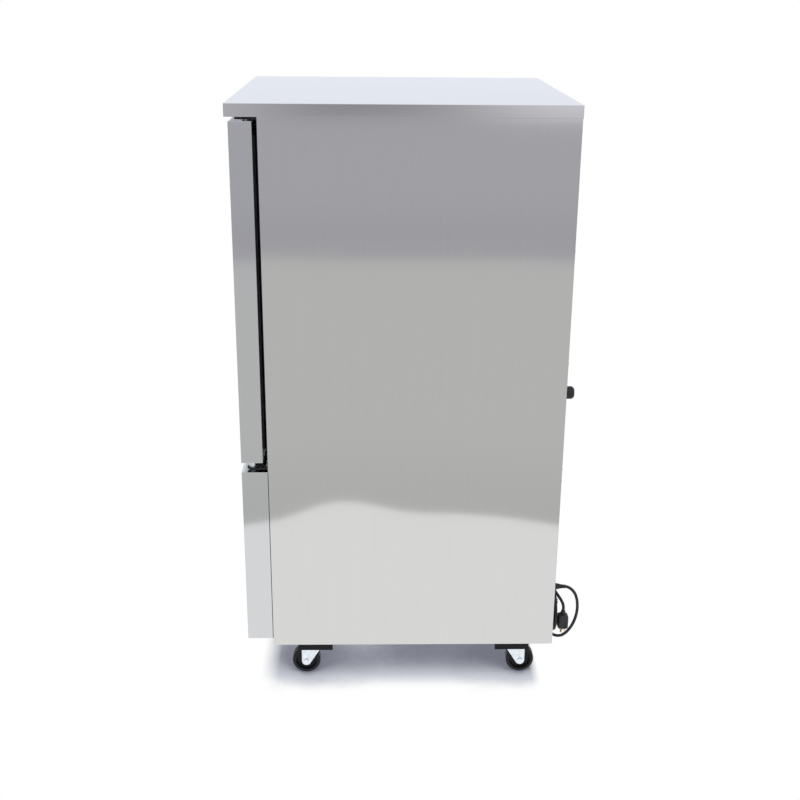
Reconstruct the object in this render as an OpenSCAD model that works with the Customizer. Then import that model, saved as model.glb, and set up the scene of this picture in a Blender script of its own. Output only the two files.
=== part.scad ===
// Blast chiller: an insulated stainless cabinet on castors, with the machinery below the chamber.
// The door is towards -y, its hinges are at +x, the floor is z = 0. Sizes are in millimetres.

/* [Worktop] */
// Width of the worktop
top_w = 800; // [760:1:860]
// Depth of the worktop, front edge to rear edge
top_d = 815; // [790:1:880]
// Height of the worktop above the floor
total_h = 1500; // [1470:1:1600]
// Height of the worktop's folded edge
top_edge_h = 30; // [24:1:40]
// Thickness of the worktop's sheet
top_sheet = 1.5; // [1:0.1:2]
// Overhang of the worktop past each side panel
top_side_overhang = 5; // [3:0.5:10]
// Width of the fold under the worktop's front edge
top_return = 20; // [10:1:30]

/* [Cabinet shell] */
// Thickness of the panels' sheet
sheet = 1; // [0.8:0.1:1.5]
// Height of the side panels' lower edge above the floor
body_z = 101; // [98:1:115]
// Width of each side panel's front fold
front_flange = 25; // [20:1:28]
// Width of each side panel's rear fold
rear_flange = 22; // [16:1:28]
// Height of the joint between the rear panel and the rear grille
rear_split_z = 584; // [540:1:600]
// Width of the joints between the cabinet's outer panels
panel_gap = 1; // [0.5:0.1:2]

/* [Chamber] */
// Thickness of the insulated side walls
side_wall = 60; // [52:1:66]
// Distance from the worktop's sheet down to the chamber's ceiling
roof_wall = 95.5; // [90:0.5:97.5]
// Thickness of the insulated rear wall
rear_wall = 70; // [60:1:80]
// Height of the chamber's floor
chamber_z = 665; // [662:1:670]
// Radius of the chamber's long inner corners
chamber_r = 20; // [10:1:28]
// Insulation under the chamber
floor_foam = 50; // [40:1:54]
// Thickness of the frame round the chamber's mouth
trim_t = 14; // [8:1:20]

/* [Door] */
// Distance of the door's front behind the worktop's front edge
door_set = 8; // [5:1:15]
// Thickness of the door
door_t = 54; // [50:1:70]
// Height of the door's lower edge
door_z = 623; // [620:1:628]
// Gap between the door and the worktop
door_gap_top = 10; // [9:1:14]
// Thickness of the gasket between the door and the cabinet
gasket_t = 12; // [10:1:16]
// Width of the gasket
gasket_w = 20; // [16:1:22]
// Distance of the gasket's inner edge outside the chamber's mouth
gasket_margin = 5; // [3:1:6]
// Height of the raised pan on the door's inner face
door_pan_t = 8; // [5:1:9]
// Distance of the raised pan inside the chamber's mouth
door_pan_margin = 17; // [12:1:30]
// Width of the fold round the door's inner face
door_lip = 14; // [10:1:20]
// Length of the grip recess in the door's free edge
grip_h = 520; // [200:1:700]
// Width of the grip recess, across the door's thickness
grip_w = 32; // [28:1:34]
// Depth of the grip recess
grip_deep = 30; // [25:1:40]
// Thickness of the grip's wall
grip_wall = 2; // [1.5:0.5:3]

/* [Hinges] */
// Distance of the hinge axis from the door's side face
hinge_inset = 20; // [18:1:26]
// Diameter of the hinge pins
pin_d = 12; // [10:0.5:14]
// Radial clearance of the hinge pins in their bushes
pin_clearance = 0.05; // [0.02:0.01:0.09]
// Outer diameter of the bushes in the door
bush_d = 20; // [18:0.5:24]
// Length of each hinge pin inside the door
pin_l = 22; // [15:1:30]
// Thickness of the hinge brackets' plate
bracket_t = 4; // [3:0.5:5]
// Free gap between the door and what carries it
hinge_gap = 0.3; // [0.2:0.05:0.5]

/* [Lower front] */
// Gap between the door and the lower front panel
lower_gap = 25; // [22:1:28]
// Height of the lower front panel's bottom edge
lower_z = 121.5; // [110:0.5:135]
// Width of each louvre
louvre_w = 190; // [120:1:200]
// Height of each louvre's slot
louvre_h = 6; // [4:0.5:8]
// Distance between louvres
louvre_pitch = 19; // [16:1:22]
// Rows of louvres in the front panel
front_louvres = 14; // [6:1:16]
// Rows of louvres in the rear grille
rear_louvres = 10; // [6:1:12]

/* [Controls] */
// Width of the control panel
control_w = 320; // [280:1:360]
// Height of the control panel
control_h = 66; // [56:1:72]
// How far the control panel stands out
control_t = 3; // [2:0.5:4]
// Depth of the control housing behind the panel
control_deep = 24; // [20:1:40]
// Width of the display window
display_w = 92; // [70:1:100]
// Height of the display window
display_h = 36; // [26:1:40]
// Width of a key
key_w = 22; // [16:1:24]
// Height of a key
key_h = 14; // [10:1:18]
// Distance between keys
key_pitch = 34; // [30:1:36]
// Travel of a key
key_travel = 1; // [0.5:0.1:1.5]
// Clearance round a key
key_clearance = 0.3; // [0.2:0.05:0.5]

/* [Castors] */
// Diameter of a castor wheel
wheel_d = 75; // [70:1:76]
// Width of a castor wheel's tread
wheel_w = 28; // [22:1:30]
// Diameter of a castor's axle
axle_d = 8; // [6:0.5:10]
// Distance of the wheel's centre behind the king pin
trail = 26; // [20:1:30]
// Diameter of the king pin
king_d = 10; // [8:0.5:12]
// Radial clearance of the axles and king pins
castor_clearance = 0.05; // [0.02:0.01:0.09]
// Gap between a wheel's hub and its fork
hub_gap = 0.5; // [0.3:0.1:1]
// Thickness of the fork's sheet
fork_t = 2.5; // [2:0.5:3]
// Distance of the castors' centre line from the side panel
castor_inset = 40; // [40:1:60]
// Distance of the front castors' king pins behind the worktop's front edge
castor_front = 185; // [160:1:220]
// Distance of the rear castors' king pins ahead of the worktop's rear edge
castor_rear = 107; // [100:1:140]
// Length of a castor's bracket
mount_l = 91; // [86:1:110]
// Width of a castor's bracket
mount_w = 70; // [68:1:76]
// Height of a castor's bracket
mount_h = 20; // [16:1:20]
// Thickness of the castor brackets and plates
mount_t = 3; // [2.5:0.5:3]

/* [Tray racks] */
// Height between tray runners
level_pitch = 65; // [60:1:75]
// Height of the lowest runner above the chamber's floor
first_level = 49; // [40:1:60]
// Room above the highest runner
rack_top_room = 100; // [80:1:120]
// Diameter of a runner's wire
runner_d = 5.5; // [5:0.25:6]
// How far the runners stand off the chamber's wall
runner_reach = 49; // [44:1:52]
// Distance of the racks behind the chamber's frame
rack_set = 12; // [8:1:20]
// Room between the racks and the fan panel
rack_room = 40; // [36:1:50]
// Depth of the racks' uprights, off the chamber's wall
upright_t = 12; // [10:1:16]
// Width of the racks' uprights
upright_w = 25; // [20:1:35]
// Thickness of the uprights' sheet
upright_sheet = 1.5; // [1:0.1:2]
// Gap between a rack and the chamber's wall
rack_gap = 0.3; // [0.3:0.1:1]

/* [Cold side] */
// Depth of the duct between the fan panel and the chamber's rear wall
duct_d = 204; // [200:1:212]
// Width of the free gap above and below the fan panel
fan_panel_gap = 26; // [20:1:50]
// Edge of the fan panel above and below the fans
fan_edge = 23; // [15:1:30]
// Room round each evaporator fan
fan_room = 35; // [30:1:45]
// Room for the bends at each end of the evaporator
evaporator_side = 75; // [70:1:95]
// Room above and below the evaporator
evaporator_room = 69; // [60:1:100]
// Depth of the evaporator
evaporator_d = 112; // [90:1:120]

/* [Machinery] */
// Diameter of the compressor's shell
compressor_d = 190; // [160:1:200]
// Height of the compressor's shell
compressor_h = 250; // [200:1:280]
// Diameter of the condenser's fan
condenser_fan_d = 280; // [240:1:300]
// Width of the condenser's fins
condenser_w = 400; // [340:1:420]
// Height of the condenser
condenser_h = 320; // [310:1:360]
// Depth of the condenser
condenser_d = 66; // [50:1:76]
// Diameter of the liquid receiver
receiver_d = 90; // [70:1:100]
// Length of the liquid receiver
receiver_h = 230; // [180:1:260]
// Outer diameter of the suction pipe
suction_d = 16; // [12:0.5:19]
// Outer diameter of the liquid pipe
liquid_d = 10; // [8:0.5:12]
// Clearance round a pipe where it passes through the insulation
pipe_clearance = 0.5; // [0.3:0.1:1]
// Outer diameter of the drain
drain_d = 32; // [25:1:40]

/* [Rear fittings] */
// How far the rear spacers stand out
spacer_h = 24; // [23:1:35]
// Diameter of the rear spacers
spacer_d = 32; // [24:1:40]
// Distance of the rear spacers from the side panel
spacer_inset = 37; // [30:1:60]
// Height of the rear spacers
spacer_z = 798; // [700:1:900]
// Diameter of a screw's head
screw_d = 9; // [7:0.5:11]
// Height of a screw's head
screw_h = 2.2; // [1.5:0.1:3]

/* [Mains lead] */
// Diameter of the lead
cord_d = 8; // [7:0.1:8]
// Distance between neighbouring turns of the stowed coil
coil_pitch = 8.6; // [8.5:0.05:8.8]
// Radius of the coil's outermost turn
coil_r = 60.9; // [60:0.1:62]

/* [Hidden] */
$fn = 48;
fit = 0.3;
joint = 0.3;
steel = "lightgray";
dark = [0.10, 0.10, 0.11];
zinc = [0.80, 0.82, 0.86];
copper = [0.72, 0.45, 0.30];

// the louvres stand this far proud, with this much between two fields
louvre_deep = 4;
louvre_gap = 40;

// the cabinet's outline
side_x = top_w / 2 - top_side_overhang;
front_y = -(top_d + spacer_h) / 2;
rear_y = front_y + top_d;
body_rear = rear_y - sheet;
door_front = front_y + door_set;
door_back = door_front + door_t;
body_front = door_back + gasket_t;
fascia_z = total_h - top_edge_h;
shell_top = total_h - top_sheet;
door_top = fascia_z - door_gap_top;
lower_top = door_z - lower_gap;

// the chamber
foam_z = chamber_z - sheet - floor_foam;
chamber_x = side_x - side_wall;
chamber_w = 2 * chamber_x;
chamber_top = shell_top - roof_wall;
chamber_h = chamber_top - chamber_z;
chamber_front = body_front + trim_t;
chamber_rear = body_rear - rear_wall;
fan_panel_y = chamber_rear - duct_d;
fan_z = (chamber_z + chamber_top) / 2;
fan_panel_h = chamber_h - 2 * fan_panel_gap;
fan_spacing = fan_panel_h / 2 - fan_edge;
fan_d = fan_spacing - 2 * fan_room;
levels = 1 + floor((chamber_h - first_level - rack_top_room) / level_pitch);
runner_l = fan_panel_y - rack_room - rack_set - chamber_front;

// the hinges: the lower bracket stands in the gap under the door
hinge_x = side_x - hinge_inset;
hinge_y = door_front + door_t / 2;
low_plate_z = lower_top + 5;
top_plate_z = door_top + 3;
pin_collar_d = bush_d - 2;
hinge_plate_r = 14;
hinge_tab_w = 50;
hinge_tab_h = 18;

// the castors: the fork turns under its plate, the wheel just clears the fork
castor_x = side_x - castor_inset;
wheel_r = wheel_d / 2;
hub_x = wheel_w / 2 + 2;
fork_x = hub_x + hub_gap + fork_t;
plate_z = body_z - 2 * mount_t;
crown_r = 24;
race_r = 21;
race_z = plate_z - 5;
web_z = wheel_d + 2;

// the control panel and its keys
control_z = lower_top - 20 - control_h / 2;
control_front = door_front - control_t;
display_x = -control_w / 2 + 20 + display_w / 2;
control_edge = 6;
key_stand = 2;
key_collar = 2;

// the evaporator and the machine bay
evaporator_w = chamber_w - 2 * evaporator_side;
evaporator_h = chamber_h - 2 * evaporator_room;
evaporator_y = chamber_rear - 30 - evaporator_d;
evaporator_fins = 20;
condenser_fins = 14;
fin_t = 1.2;
tube_d = 9.5;
bay_floor = body_z + 3;
base_wall = 40;
condenser_x = side_x - 55 - condenser_w;
condenser_mid = condenser_x + condenser_w / 2;
condenser_y = body_front + 44;
condenser_z = bay_floor + 18;
condenser_rear = condenser_y + condenser_d;
shroud_deep = 46;
condenser_fan_y = condenser_rear + 26;
condenser_fan_z = condenser_z + condenser_h / 2;
compressor_x = side_x - 225;
compressor_y = body_rear - 264.5;
rail_h = 14;
compressor_z = bay_floor + 26;
compressor_base = 76;
mount_in = 16;
receiver_x = compressor_x - 260;
receiver_y = compressor_y + 80;
box_w = 150;
box_x = side_x - 170;
box_y = condenser_fan_y + 51.5;
box_d = compressor_y - 88 - box_y;
box_h = 210;
box_z = bay_floor + 60;
tray_x0 = -side_x + 50;
tray_x1 = receiver_x - receiver_d / 2 - 20;
tray_d = 260;
tray_h = 45;
tray_sheet = 2;
drain_x = (tray_x0 + tray_x1) / 2;
drain_y = fan_panel_y + 59.5;
drain_wall = 7;
pan_h = 22;
suction_x = chamber_x - 50;
liquid_x = suction_x - 30;
pipe_y = chamber_rear - 16;
drier_d = 34;
drier_l = 90;
guard_set = 22;
guard_wire = 2.6;
motor_d = 84;
motor_l = 30;
motor_gap = 8;
shaft_d = 8;
hub_d = 64;
hub_l = 16;

// the lead: it leaves its gland, bows out behind the cabinet and joins the coil on its hook.
// Its places are given for a side panel at x = 395 and a rear panel at y = 395.5.
cord_r = cord_d / 2;
lead_shift = [side_x - 395, rear_y - 395.5, 0];
gland_x = 352;
gland_y = 395.5;
gland_l = 22.5;
gland_thread_d = 18;
gland_nut_d = 26;
gland_nut_h = 5;
gland_z = 250;
coil_x = 300;
coil_z = 155;
coil_y = 400.5;
coil_turns = 6.5;
coil_steps = 24;
lead_points = [[352, 418, 250], [352, 430, 249.3], [352.5, 441.3, 244.8], [354, 451, 236.5],
    [355, 458, 225], [357, 462.3, 210], [359, 463.8, 194], [361, 463, 178], [363, 459.5, 161],
    [365, 453.5, 145], [366, 446, 131], [364, 436.5, 117], [359, 426, 105.5], [349, 415.5, 98],
    [337, 406.5, 94.6], [323, 401.2, 94.1], [313, 400.5, 94.1], [308, 400.5, 94.1]];
tail_points = [[308, 409.1, 215.9], [312, 409.1, 215.9], [318, 410.5, 214.5], [324.5, 413.8, 211.5],
    [331.3, 418.6, 206.2], [336.6, 423.7, 199.4], [339.9, 427.7, 191.4], [341, 430, 182.5],
    [341, 430, 171]];
plug_w = 34;
plug_t = 28;
plug_h = 32;
plug_relief = 16;
plug_pin = 16;

// ---- shapes that repeat ----

// Outline of a rectangle with round corners
module round_rect(x0, x1, y0, y1, r) {
    translate([x0 + r, y0]) square([x1 - x0 - 2 * r, y1 - y0]);
    translate([x0, y0 + r]) square([x1 - x0, y1 - y0 - 2 * r]);
    for (x = [x0 + r, x1 - r], y = [y0 + r, y1 - r]) translate([x, y]) circle(r);
}

// Carries an outline drawn in x and z from y0 to y1
module along_y(y0, y1) {
    translate([0, y1, 0]) rotate([90, 0, 0]) linear_extrude(height = y1 - y0) children();
}

// Carries an outline drawn in y and z from x0 to x1
module along_x(x0, x1) {
    translate([x0, 0, 0]) rotate([90, 0, 90]) linear_extrude(height = x1 - x0) children();
}

// A bar of the given corners
module bar(low, high) {
    translate(low) cube(high - low);
}

// A round stud with a rounded end, standing up from z = 0
module domed_stud(d, h, edge) {
    rotate_extrude() {
        square([d / 2 - edge, h]);
        square([d / 2, h - edge]);
        intersection() {
            translate([d / 2 - edge, h - edge]) circle(edge);
            square([d, h + edge]);
        }
    }
}

function unit(v) = v / norm(v);

// A pipe through the given corners, each a square bend of 1.5 diameters
module pipe_run(points, d) {
    bend = 1.5 * d;
    last = len(points) - 1;
    for (i = [0 : last - 1]) {
        run = points[i + 1] - points[i];
        u = unit(run);
        skip = i == 0 ? 0 : bend;
        translate(points[i] + skip * u) rotate([0, acos(u[2]), atan2(u[1], u[0])])
            cylinder(d = d, h = norm(run) - skip - (i == last - 1 ? 0 : bend));
    }
    for (i = [1 : last - 1]) {
        a = unit(points[i] - points[i - 1]);
        b = unit(points[i + 1] - points[i]);
        n = cross(a, b);
        c = points[i] + bend * (b - a);
        multmatrix([for (k = [0 : 2]) [-b[k], a[k], n[k], c[k]]])
            rotate_extrude(angle = 90) translate([bend, 0]) circle(d = d);
    }
}

// Hoods of one field of louvres, pressed towards -y out of a sheet that faces -y at y
module louvre_hoods(x, y, z, rows) {
    for (i = [0 : rows - 1]) translate([0, y, z + i * louvre_pitch])
        along_x(x - louvre_w / 2, x + louvre_w / 2)
            polygon([[sheet / 2, 0], [sheet / 2, louvre_h + 3], [0, louvre_h + 3], [-louvre_deep, 0]]);
}

// The openings under those hoods, through the sheet
module louvre_slots(x, y, z, rows) {
    for (i = [0 : rows - 1]) translate([0, y, z + i * louvre_pitch])
        along_x(x - louvre_w / 2 + sheet, x + louvre_w / 2 - sheet)
            polygon([[sheet + 1, -1], [sheet + 1, louvre_h], [0, louvre_h], [-louvre_deep + sheet, 0],
                     [-louvre_deep + sheet, -1]]);
}

// A block of upright fins crossed by tubes with return bends, its low corner at the origin
module finned_coil(w, d, h, rows, columns, pitch) {
    count = floor(w / pitch);
    step_z = h / rows;
    step_y = d / columns;
    overhang = 12;
    for (i = [0 : count])
        translate([i * (w - fin_t) / count, 0, 0]) cube([fin_t, d, h]);
    for (c = [0 : columns - 1]) {
        for (r = [0 : rows - 1])
            translate([-overhang, (c + 0.5) * step_y, (r + 0.5) * step_z]) rotate([0, 90, 0])
                cylinder(d = tube_d, h = w + 2 * overhang);
        for (r = [0 : rows - 2])
            translate([r % 2 == 0 ? w + overhang : -overhang, (c + 0.5) * step_y,
                       (r + 1) * step_z])
                rotate([90, 0, 0]) rotate([0, 0, r % 2 == 0 ? -90 : 90])
                    rotate_extrude(angle = 180) translate([step_z / 2, 0]) circle(d = tube_d);
    }
}

// An axial fan that turns about the y axis: cambered blades on a hub with a bore
module axial_fan(d, blades) {
    camber_r = d * 0.45;
    blade_t = 1.8;
    swept = 0.275 * d;
    difference() {
        union() {
            rotate([90, 0, 0]) translate([0, 0, -hub_l / 2]) cylinder(d = hub_d, h = hub_l);
            intersection() {
                for (i = [0 : blades - 1]) rotate([0, i * 360 / blades, 0])
                    translate([0, 0, hub_d / 2 - 4]) mirror([0, 1, 0]) rotate([0, 0, 28])
                        intersection() {
                            translate([0, camber_r - blade_t, 0]) difference() {
                                cylinder(r = camber_r, h = d / 2);
                                translate([0, 0, -1]) cylinder(r = camber_r - blade_t, h = d / 2 + 2);
                            }
                            translate([-swept / 2, -20, 0]) cube([swept, 40, d / 2]);
                        }
                rotate([90, 0, 0]) cylinder(d = d, h = 4 * hub_l, center = true);
            }
        }
        rotate([90, 0, 0])
            cylinder(d = shaft_d + 2 * castor_clearance, h = 2 * hub_l, center = true);
    }
}

// A wire guard that faces -y: rings, spokes and four feet that reach back to the panel
module wire_guard(d, foot) {
    inner = 20;
    outer = d / 2 + 12;
    rings = 5;
    foot_d = guard_wire + 4;
    foot_r = outer + guard_wire / 2;
    for (i = [0 : rings]) rotate([90, 0, 0]) difference() {
        cylinder(r = inner + i * (outer - inner) / rings + guard_wire, h = guard_wire);
        translate([0, 0, -1])
            cylinder(r = inner + i * (outer - inner) / rings, h = guard_wire + 2);
    }
    for (a = [0 : 45 : 315]) rotate([0, a, 0])
        translate([inner - 1, -guard_wire / 2, -guard_wire / 2])
            cube([outer - inner + 2, guard_wire, guard_wire]);
    for (a = [45 : 90 : 315])
        translate([foot_r * cos(a), -guard_wire / 2, foot_r * sin(a)]) rotate([-90, 0, 0])
            cylinder(d = foot_d, h = foot + guard_wire / 2);
}

// Places a copy at each castor: right is +x, the castor trails away from the cabinet's middle
module at_castor(right, front) {
    translate([right * castor_x, front > 0 ? front_y + castor_front : rear_y - castor_rear, 0])
        mirror([0, front > 0 ? 1 : 0, 0]) mirror([right > 0 ? 0 : 1, 0, 0]) children();
}

module at_each_castor() {
    for (right = [1, -1], front = [1, -1]) at_castor(right, front) children();
}

// ---- outer panels ----

module worktop() color(steel) {
    difference() {
        bar([-top_w / 2, front_y, fascia_z], [top_w / 2, rear_y, total_h]);
        bar([-top_w / 2 + top_sheet, front_y + top_sheet, fascia_z - 1],
            [top_w / 2 - top_sheet, rear_y - top_sheet, shell_top]);
    }
    bar([-top_w / 2 + top_sheet, front_y + top_sheet, fascia_z],
        [top_w / 2 - top_sheet, front_y + top_sheet + top_return, fascia_z + top_sheet]);
}

// One side panel at -x: a sheet with folds, cut back where the worktop's rear edge comes down
module side_panel() difference() {
    x = -side_x;
    translate([0, 0, body_z]) linear_extrude(height = shell_top - body_z) polygon([
        [x, body_front], [x + front_flange, body_front], [x + front_flange, body_front + sheet],
        [x + sheet, body_front + sheet], [x + sheet, body_rear - sheet],
        [x + rear_flange, body_rear - sheet], [x + rear_flange, body_rear], [x, body_rear]]);
    bar([x - 1, body_rear - sheet - fit, fascia_z - panel_gap],
        [x + rear_flange + 1, rear_y, total_h]);
}

module right_side_panel() color(steel) mirror([1, 0, 0]) side_panel();

module left_side_panel() color(steel) side_panel();

module rear_panel() color(steel) {
    bar([-side_x + panel_gap, body_rear, rear_split_z + panel_gap],
        [side_x - panel_gap, rear_y, fascia_z - panel_gap]);
}

// Places the two fields of rear louvres, turned to face +y
module rear_fields() {
    for (side = [-1, 0]) translate([side * (louvre_w + louvre_gap) + 20, 2 * body_rear + sheet, 0])
        mirror([0, 1, 0]) children();
}

module rear_grille() color(steel) difference() {
    z = body_z + 90;
    union() {
        bar([-side_x + panel_gap, body_rear, body_z + panel_gap],
            [side_x - panel_gap, rear_y, rear_split_z]);
        rear_fields() louvre_hoods(0, body_rear, z, rear_louvres);
    }
    rear_fields() louvre_slots(0, body_rear, z, rear_louvres);
    translate(lead_shift + [gland_x, gland_y + 1, gland_z]) rotate([90, 0, 0])
        cylinder(d = gland_thread_d + 2 * fit, h = sheet + 2);
}

// ---- insulated chamber ----

// Holes of the drain and of the two pipes through the chamber's floor
module floor_holes(z0, z1) {
    translate([drain_x, drain_y, z0]) cylinder(d = drain_d, h = z1 - z0);
    for (p = [[suction_x, suction_d], [liquid_x, liquid_d]])
        translate([p[0], pipe_y, z0]) cylinder(d = p[1] + 2 * pipe_clearance, h = z1 - z0);
}

// Outline of the chamber, grown by a sheet's thickness
module chamber_outline(grow) {
    round_rect(-chamber_x - grow, chamber_x + grow, chamber_z - grow, chamber_top + grow,
               chamber_r + grow);
}

// Five boards, and fillets behind the liner's four rounded corners, with joints between them
module insulation_foam() color("khaki") difference() {
    x = chamber_x + sheet;
    z0 = chamber_z - sheet;
    z1 = chamber_top + sheet;
    back = chamber_rear + sheet;
    bar([-side_x + sheet, chamber_front, foam_z], [side_x - sheet, body_rear - sheet, shell_top]);
    along_y(chamber_front - 1, back) chamber_outline(sheet);
    floor_holes(foam_z - 1, chamber_z);
    for (z = [z0 - joint, z1]) bar([-side_x, chamber_front - 1, z], [side_x, rear_y, z + joint]);
    for (s = [-x - joint, x]) bar([s, chamber_front - 1, z0], [s + joint, rear_y, z1]);
    bar([-x, back, z0], [x, back + joint, z1]);
}

module cavity_liner() color(steel) difference() {
    along_y(chamber_front, chamber_rear + sheet) chamber_outline(sheet);
    along_y(chamber_front - 1, chamber_rear) chamber_outline(0);
    floor_holes(chamber_z - 2 * sheet, chamber_z + sheet);
}

// Four profiles round the chamber's mouth, joined by moulded corner pieces
module door_frame_trim() color("silver") along_y(body_front, chamber_front) difference() {
    x = side_x - front_flange;
    z0 = lower_top - 20;
    corner_x = chamber_x - chamber_r;
    translate([-x, z0]) square([2 * x, shell_top - z0]);
    chamber_outline(0);
    for (s = [-corner_x, corner_x]) translate([s - joint / 2, z0 - 1])
        square([joint, shell_top - z0 + 2]);
    for (z = [chamber_z + chamber_r, chamber_top - chamber_r]) translate([-x - 1, z - joint / 2])
        square([2 * x + 2, joint]);
}

// A flanged bush in the insulation and a pipe down to the condensate tray
module drain_fitting() color("dimgray") {
    flange_h = 4;
    bore_d = drain_d - 2 * drain_wall;
    pipe_d = drain_d - 8;
    pipe_end = bay_floor + tray_h - 10;
    translate([drain_x, drain_y, 0]) difference() {
        union() {
            translate([0, 0, foam_z]) cylinder(d = drain_d, h = chamber_z - foam_z);
            translate([0, 0, foam_z - flange_h]) cylinder(d = drain_d + 14, h = flange_h);
            translate([0, 0, pipe_end]) cylinder(d = pipe_d, h = foam_z - pipe_end);
        }
        translate([0, 0, bay_floor]) cylinder(d = bore_d, h = chamber_z);
    }
}

// Two uprights folded from sheet, and the bent wire runners that hook into their holes, at -x
module tray_rack() {
    x = -chamber_x + rack_gap;
    face = x + upright_t;
    tip = -chamber_x + runner_reach;
    y0 = chamber_front + rack_set;
    y1 = y0 + runner_l;
    hole_y = upright_w / 2;
    bottom = chamber_z + chamber_r + 1;
    heights = [for (i = [0 : levels - 1]) chamber_z + first_level + i * level_pitch];
    top = heights[levels - 1] + upright_w;
    for (y = [y0, y1 - upright_w]) difference() {
        bar([x, y, bottom], [face, y + upright_w, top]);
        bar([x - 1, y + upright_sheet, bottom - 1],
            [face - upright_sheet, y + upright_w - upright_sheet, top + 1]);
        for (z = heights) translate([face - upright_sheet - 1, y + hole_y, z]) rotate([0, 90, 0])
            cylinder(d = runner_d + 2 * fit, h = upright_sheet + 2);
    }
    for (z = heights) pipe_run([[x + 4, y0 + hole_y, z], [tip, y0 + hole_y, z],
                                [tip, y1 - hole_y, z], [x + 4, y1 - hole_y, z]], runner_d);
}

module left_tray_rack() color("gainsboro") tray_rack();

module right_tray_rack() color("gainsboro") mirror([1, 0, 0]) tray_rack();

module fan_panel() color("gainsboro") difference() {
    fold = 25;
    ring = 10;
    x = chamber_x - fit;
    z0 = fan_z - fan_panel_h / 2;
    z1 = z0 + fan_panel_h;
    union() {
        bar([-x, fan_panel_y, z0], [x, fan_panel_y + sheet, z1]);
        for (s = [-x, x - sheet]) bar([s, fan_panel_y, z0], [s + sheet, fan_panel_y + fold, z1]);
        for (z = [z0, z1 - sheet]) bar([-x, fan_panel_y, z], [x, fan_panel_y + fold, z + sheet]);
        for (s = [-1, 1]) translate([0, fan_panel_y - ring, fan_z + s * fan_spacing / 2])
            rotate([-90, 0, 0]) cylinder(d = fan_d + 8 + 2 * sheet, h = ring + sheet);
    }
    for (s = [-1, 1]) translate([0, fan_panel_y - ring - 1, fan_z + s * fan_spacing / 2])
        rotate([-90, 0, 0]) cylinder(d = fan_d + 8, h = ring + 4);
}

module evaporator_coil() color("silver") {
    translate([-evaporator_w / 2, evaporator_y, fan_z - evaporator_h / 2])
        finned_coil(evaporator_w, evaporator_d, evaporator_h, 8, 2, evaporator_fins);
    for (s = [-1, 1]) {
        x = s * (evaporator_w / 2 + 2);
        difference() {
            bar([x - 2, evaporator_y, fan_z - evaporator_h / 2],
                [x + 2, chamber_rear, fan_z + evaporator_h / 2]);
            for (z = [-evaporator_h / 2 + 50 : 100 : evaporator_h / 2 - 50])
                translate([x - 3, chamber_rear - 15, fan_z + z]) rotate([0, 90, 0])
                    cylinder(d = 14, h = 6);
        }
    }
}

module fan_guards() color("silver") {
    for (s = [-1, 1]) translate([0, fan_panel_y - guard_set, fan_z + s * fan_spacing / 2])
        wire_guard(fan_d, guard_set);
}

// ---- door ----

// Room for the grip's cup and for the bushes, cut from the door's skin and foam
module door_cuts(grow) {
    bar([-side_x - 1, hinge_y - grip_w / 2 - grow, (door_z + door_top - grip_h) / 2 - grow],
        [-side_x + grip_deep + grow, hinge_y + grip_w / 2 + grow,
         (door_z + door_top + grip_h) / 2 + grow]);
    for (z = [door_z - 1, door_top - pin_l - grow])
        translate([hinge_x, hinge_y, z]) cylinder(d = bush_d, h = pin_l + 1 + grow);
}

module door_skin() color(steel) difference() {
    bar([-side_x, door_front, door_z], [side_x, door_back, door_top]);
    bar([-side_x + sheet, door_front + sheet, door_z + sheet],
        [side_x - sheet, door_back - sheet, door_top - sheet]);
    bar([-side_x + door_lip, door_front + sheet, door_z + door_lip],
        [side_x - door_lip, door_back + 1, door_top - door_lip]);
    door_cuts(0);
}

module door_foam() color("khaki") difference() {
    union() {
        bar([-side_x + sheet, door_front + sheet, door_z + sheet],
            [side_x - sheet, door_back - sheet, door_top - sheet]);
        pan = door_pan_margin + sheet;
        along_y(door_back - 2 * sheet, door_back + door_pan_t - sheet)
            round_rect(-chamber_x + pan, chamber_x - pan, chamber_z + pan, chamber_top - pan,
                       chamber_r);
    }
    door_cuts(0);
}

module door_liner() color("gainsboro") difference() {
    union() {
        bar([-side_x + door_lip, door_back - sheet, door_z + door_lip],
            [side_x - door_lip, door_back, door_top - door_lip]);
        along_y(door_back - sheet, door_back + door_pan_t)
            round_rect(-chamber_x + door_pan_margin, chamber_x - door_pan_margin,
                       chamber_z + door_pan_margin, chamber_top - door_pan_margin,
                       chamber_r + sheet);
    }
    pan = door_pan_margin + sheet;
    along_y(door_back - sheet - 1, door_back + door_pan_t - sheet)
        round_rect(-chamber_x + pan, chamber_x - pan, chamber_z + pan, chamber_top - pan,
                   chamber_r);
}

// One layer of the gasket: a frame of the given width, centred on the seal's line
module gasket_layer(w, y0, y1) {
    line = gasket_margin + gasket_w / 2;
    out = line + w / 2;
    in = line - w / 2;
    along_y(y0, y1) difference() {
        translate([-chamber_x - out, chamber_z - out])
            square([chamber_w + 2 * out, chamber_h + 2 * out]);
        translate([-chamber_x - in, chamber_z - in])
            square([chamber_w + 2 * in, chamber_h + 2 * in]);
    }
}

module door_gasket() color(dark) {
    base = 3;
    magnet = 5;
    gasket_layer(gasket_w * 0.6, door_back, door_back + base);
    gasket_layer(gasket_w * 0.35, door_back + base, body_front - magnet);
    gasket_layer(gasket_w, body_front - magnet, body_front);
}

module door_grip() color("dimgray") difference() {
    z0 = (door_z + door_top - grip_h) / 2;
    bar([-side_x, hinge_y - grip_w / 2, z0], [-side_x + grip_deep, hinge_y + grip_w / 2, z0 + grip_h]);
    bar([-side_x - 1, hinge_y - grip_w / 2 + grip_wall, z0 + grip_wall],
        [-side_x + grip_deep - grip_wall, hinge_y + grip_w / 2 - grip_wall, z0 + grip_h - grip_wall]);
}

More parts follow.
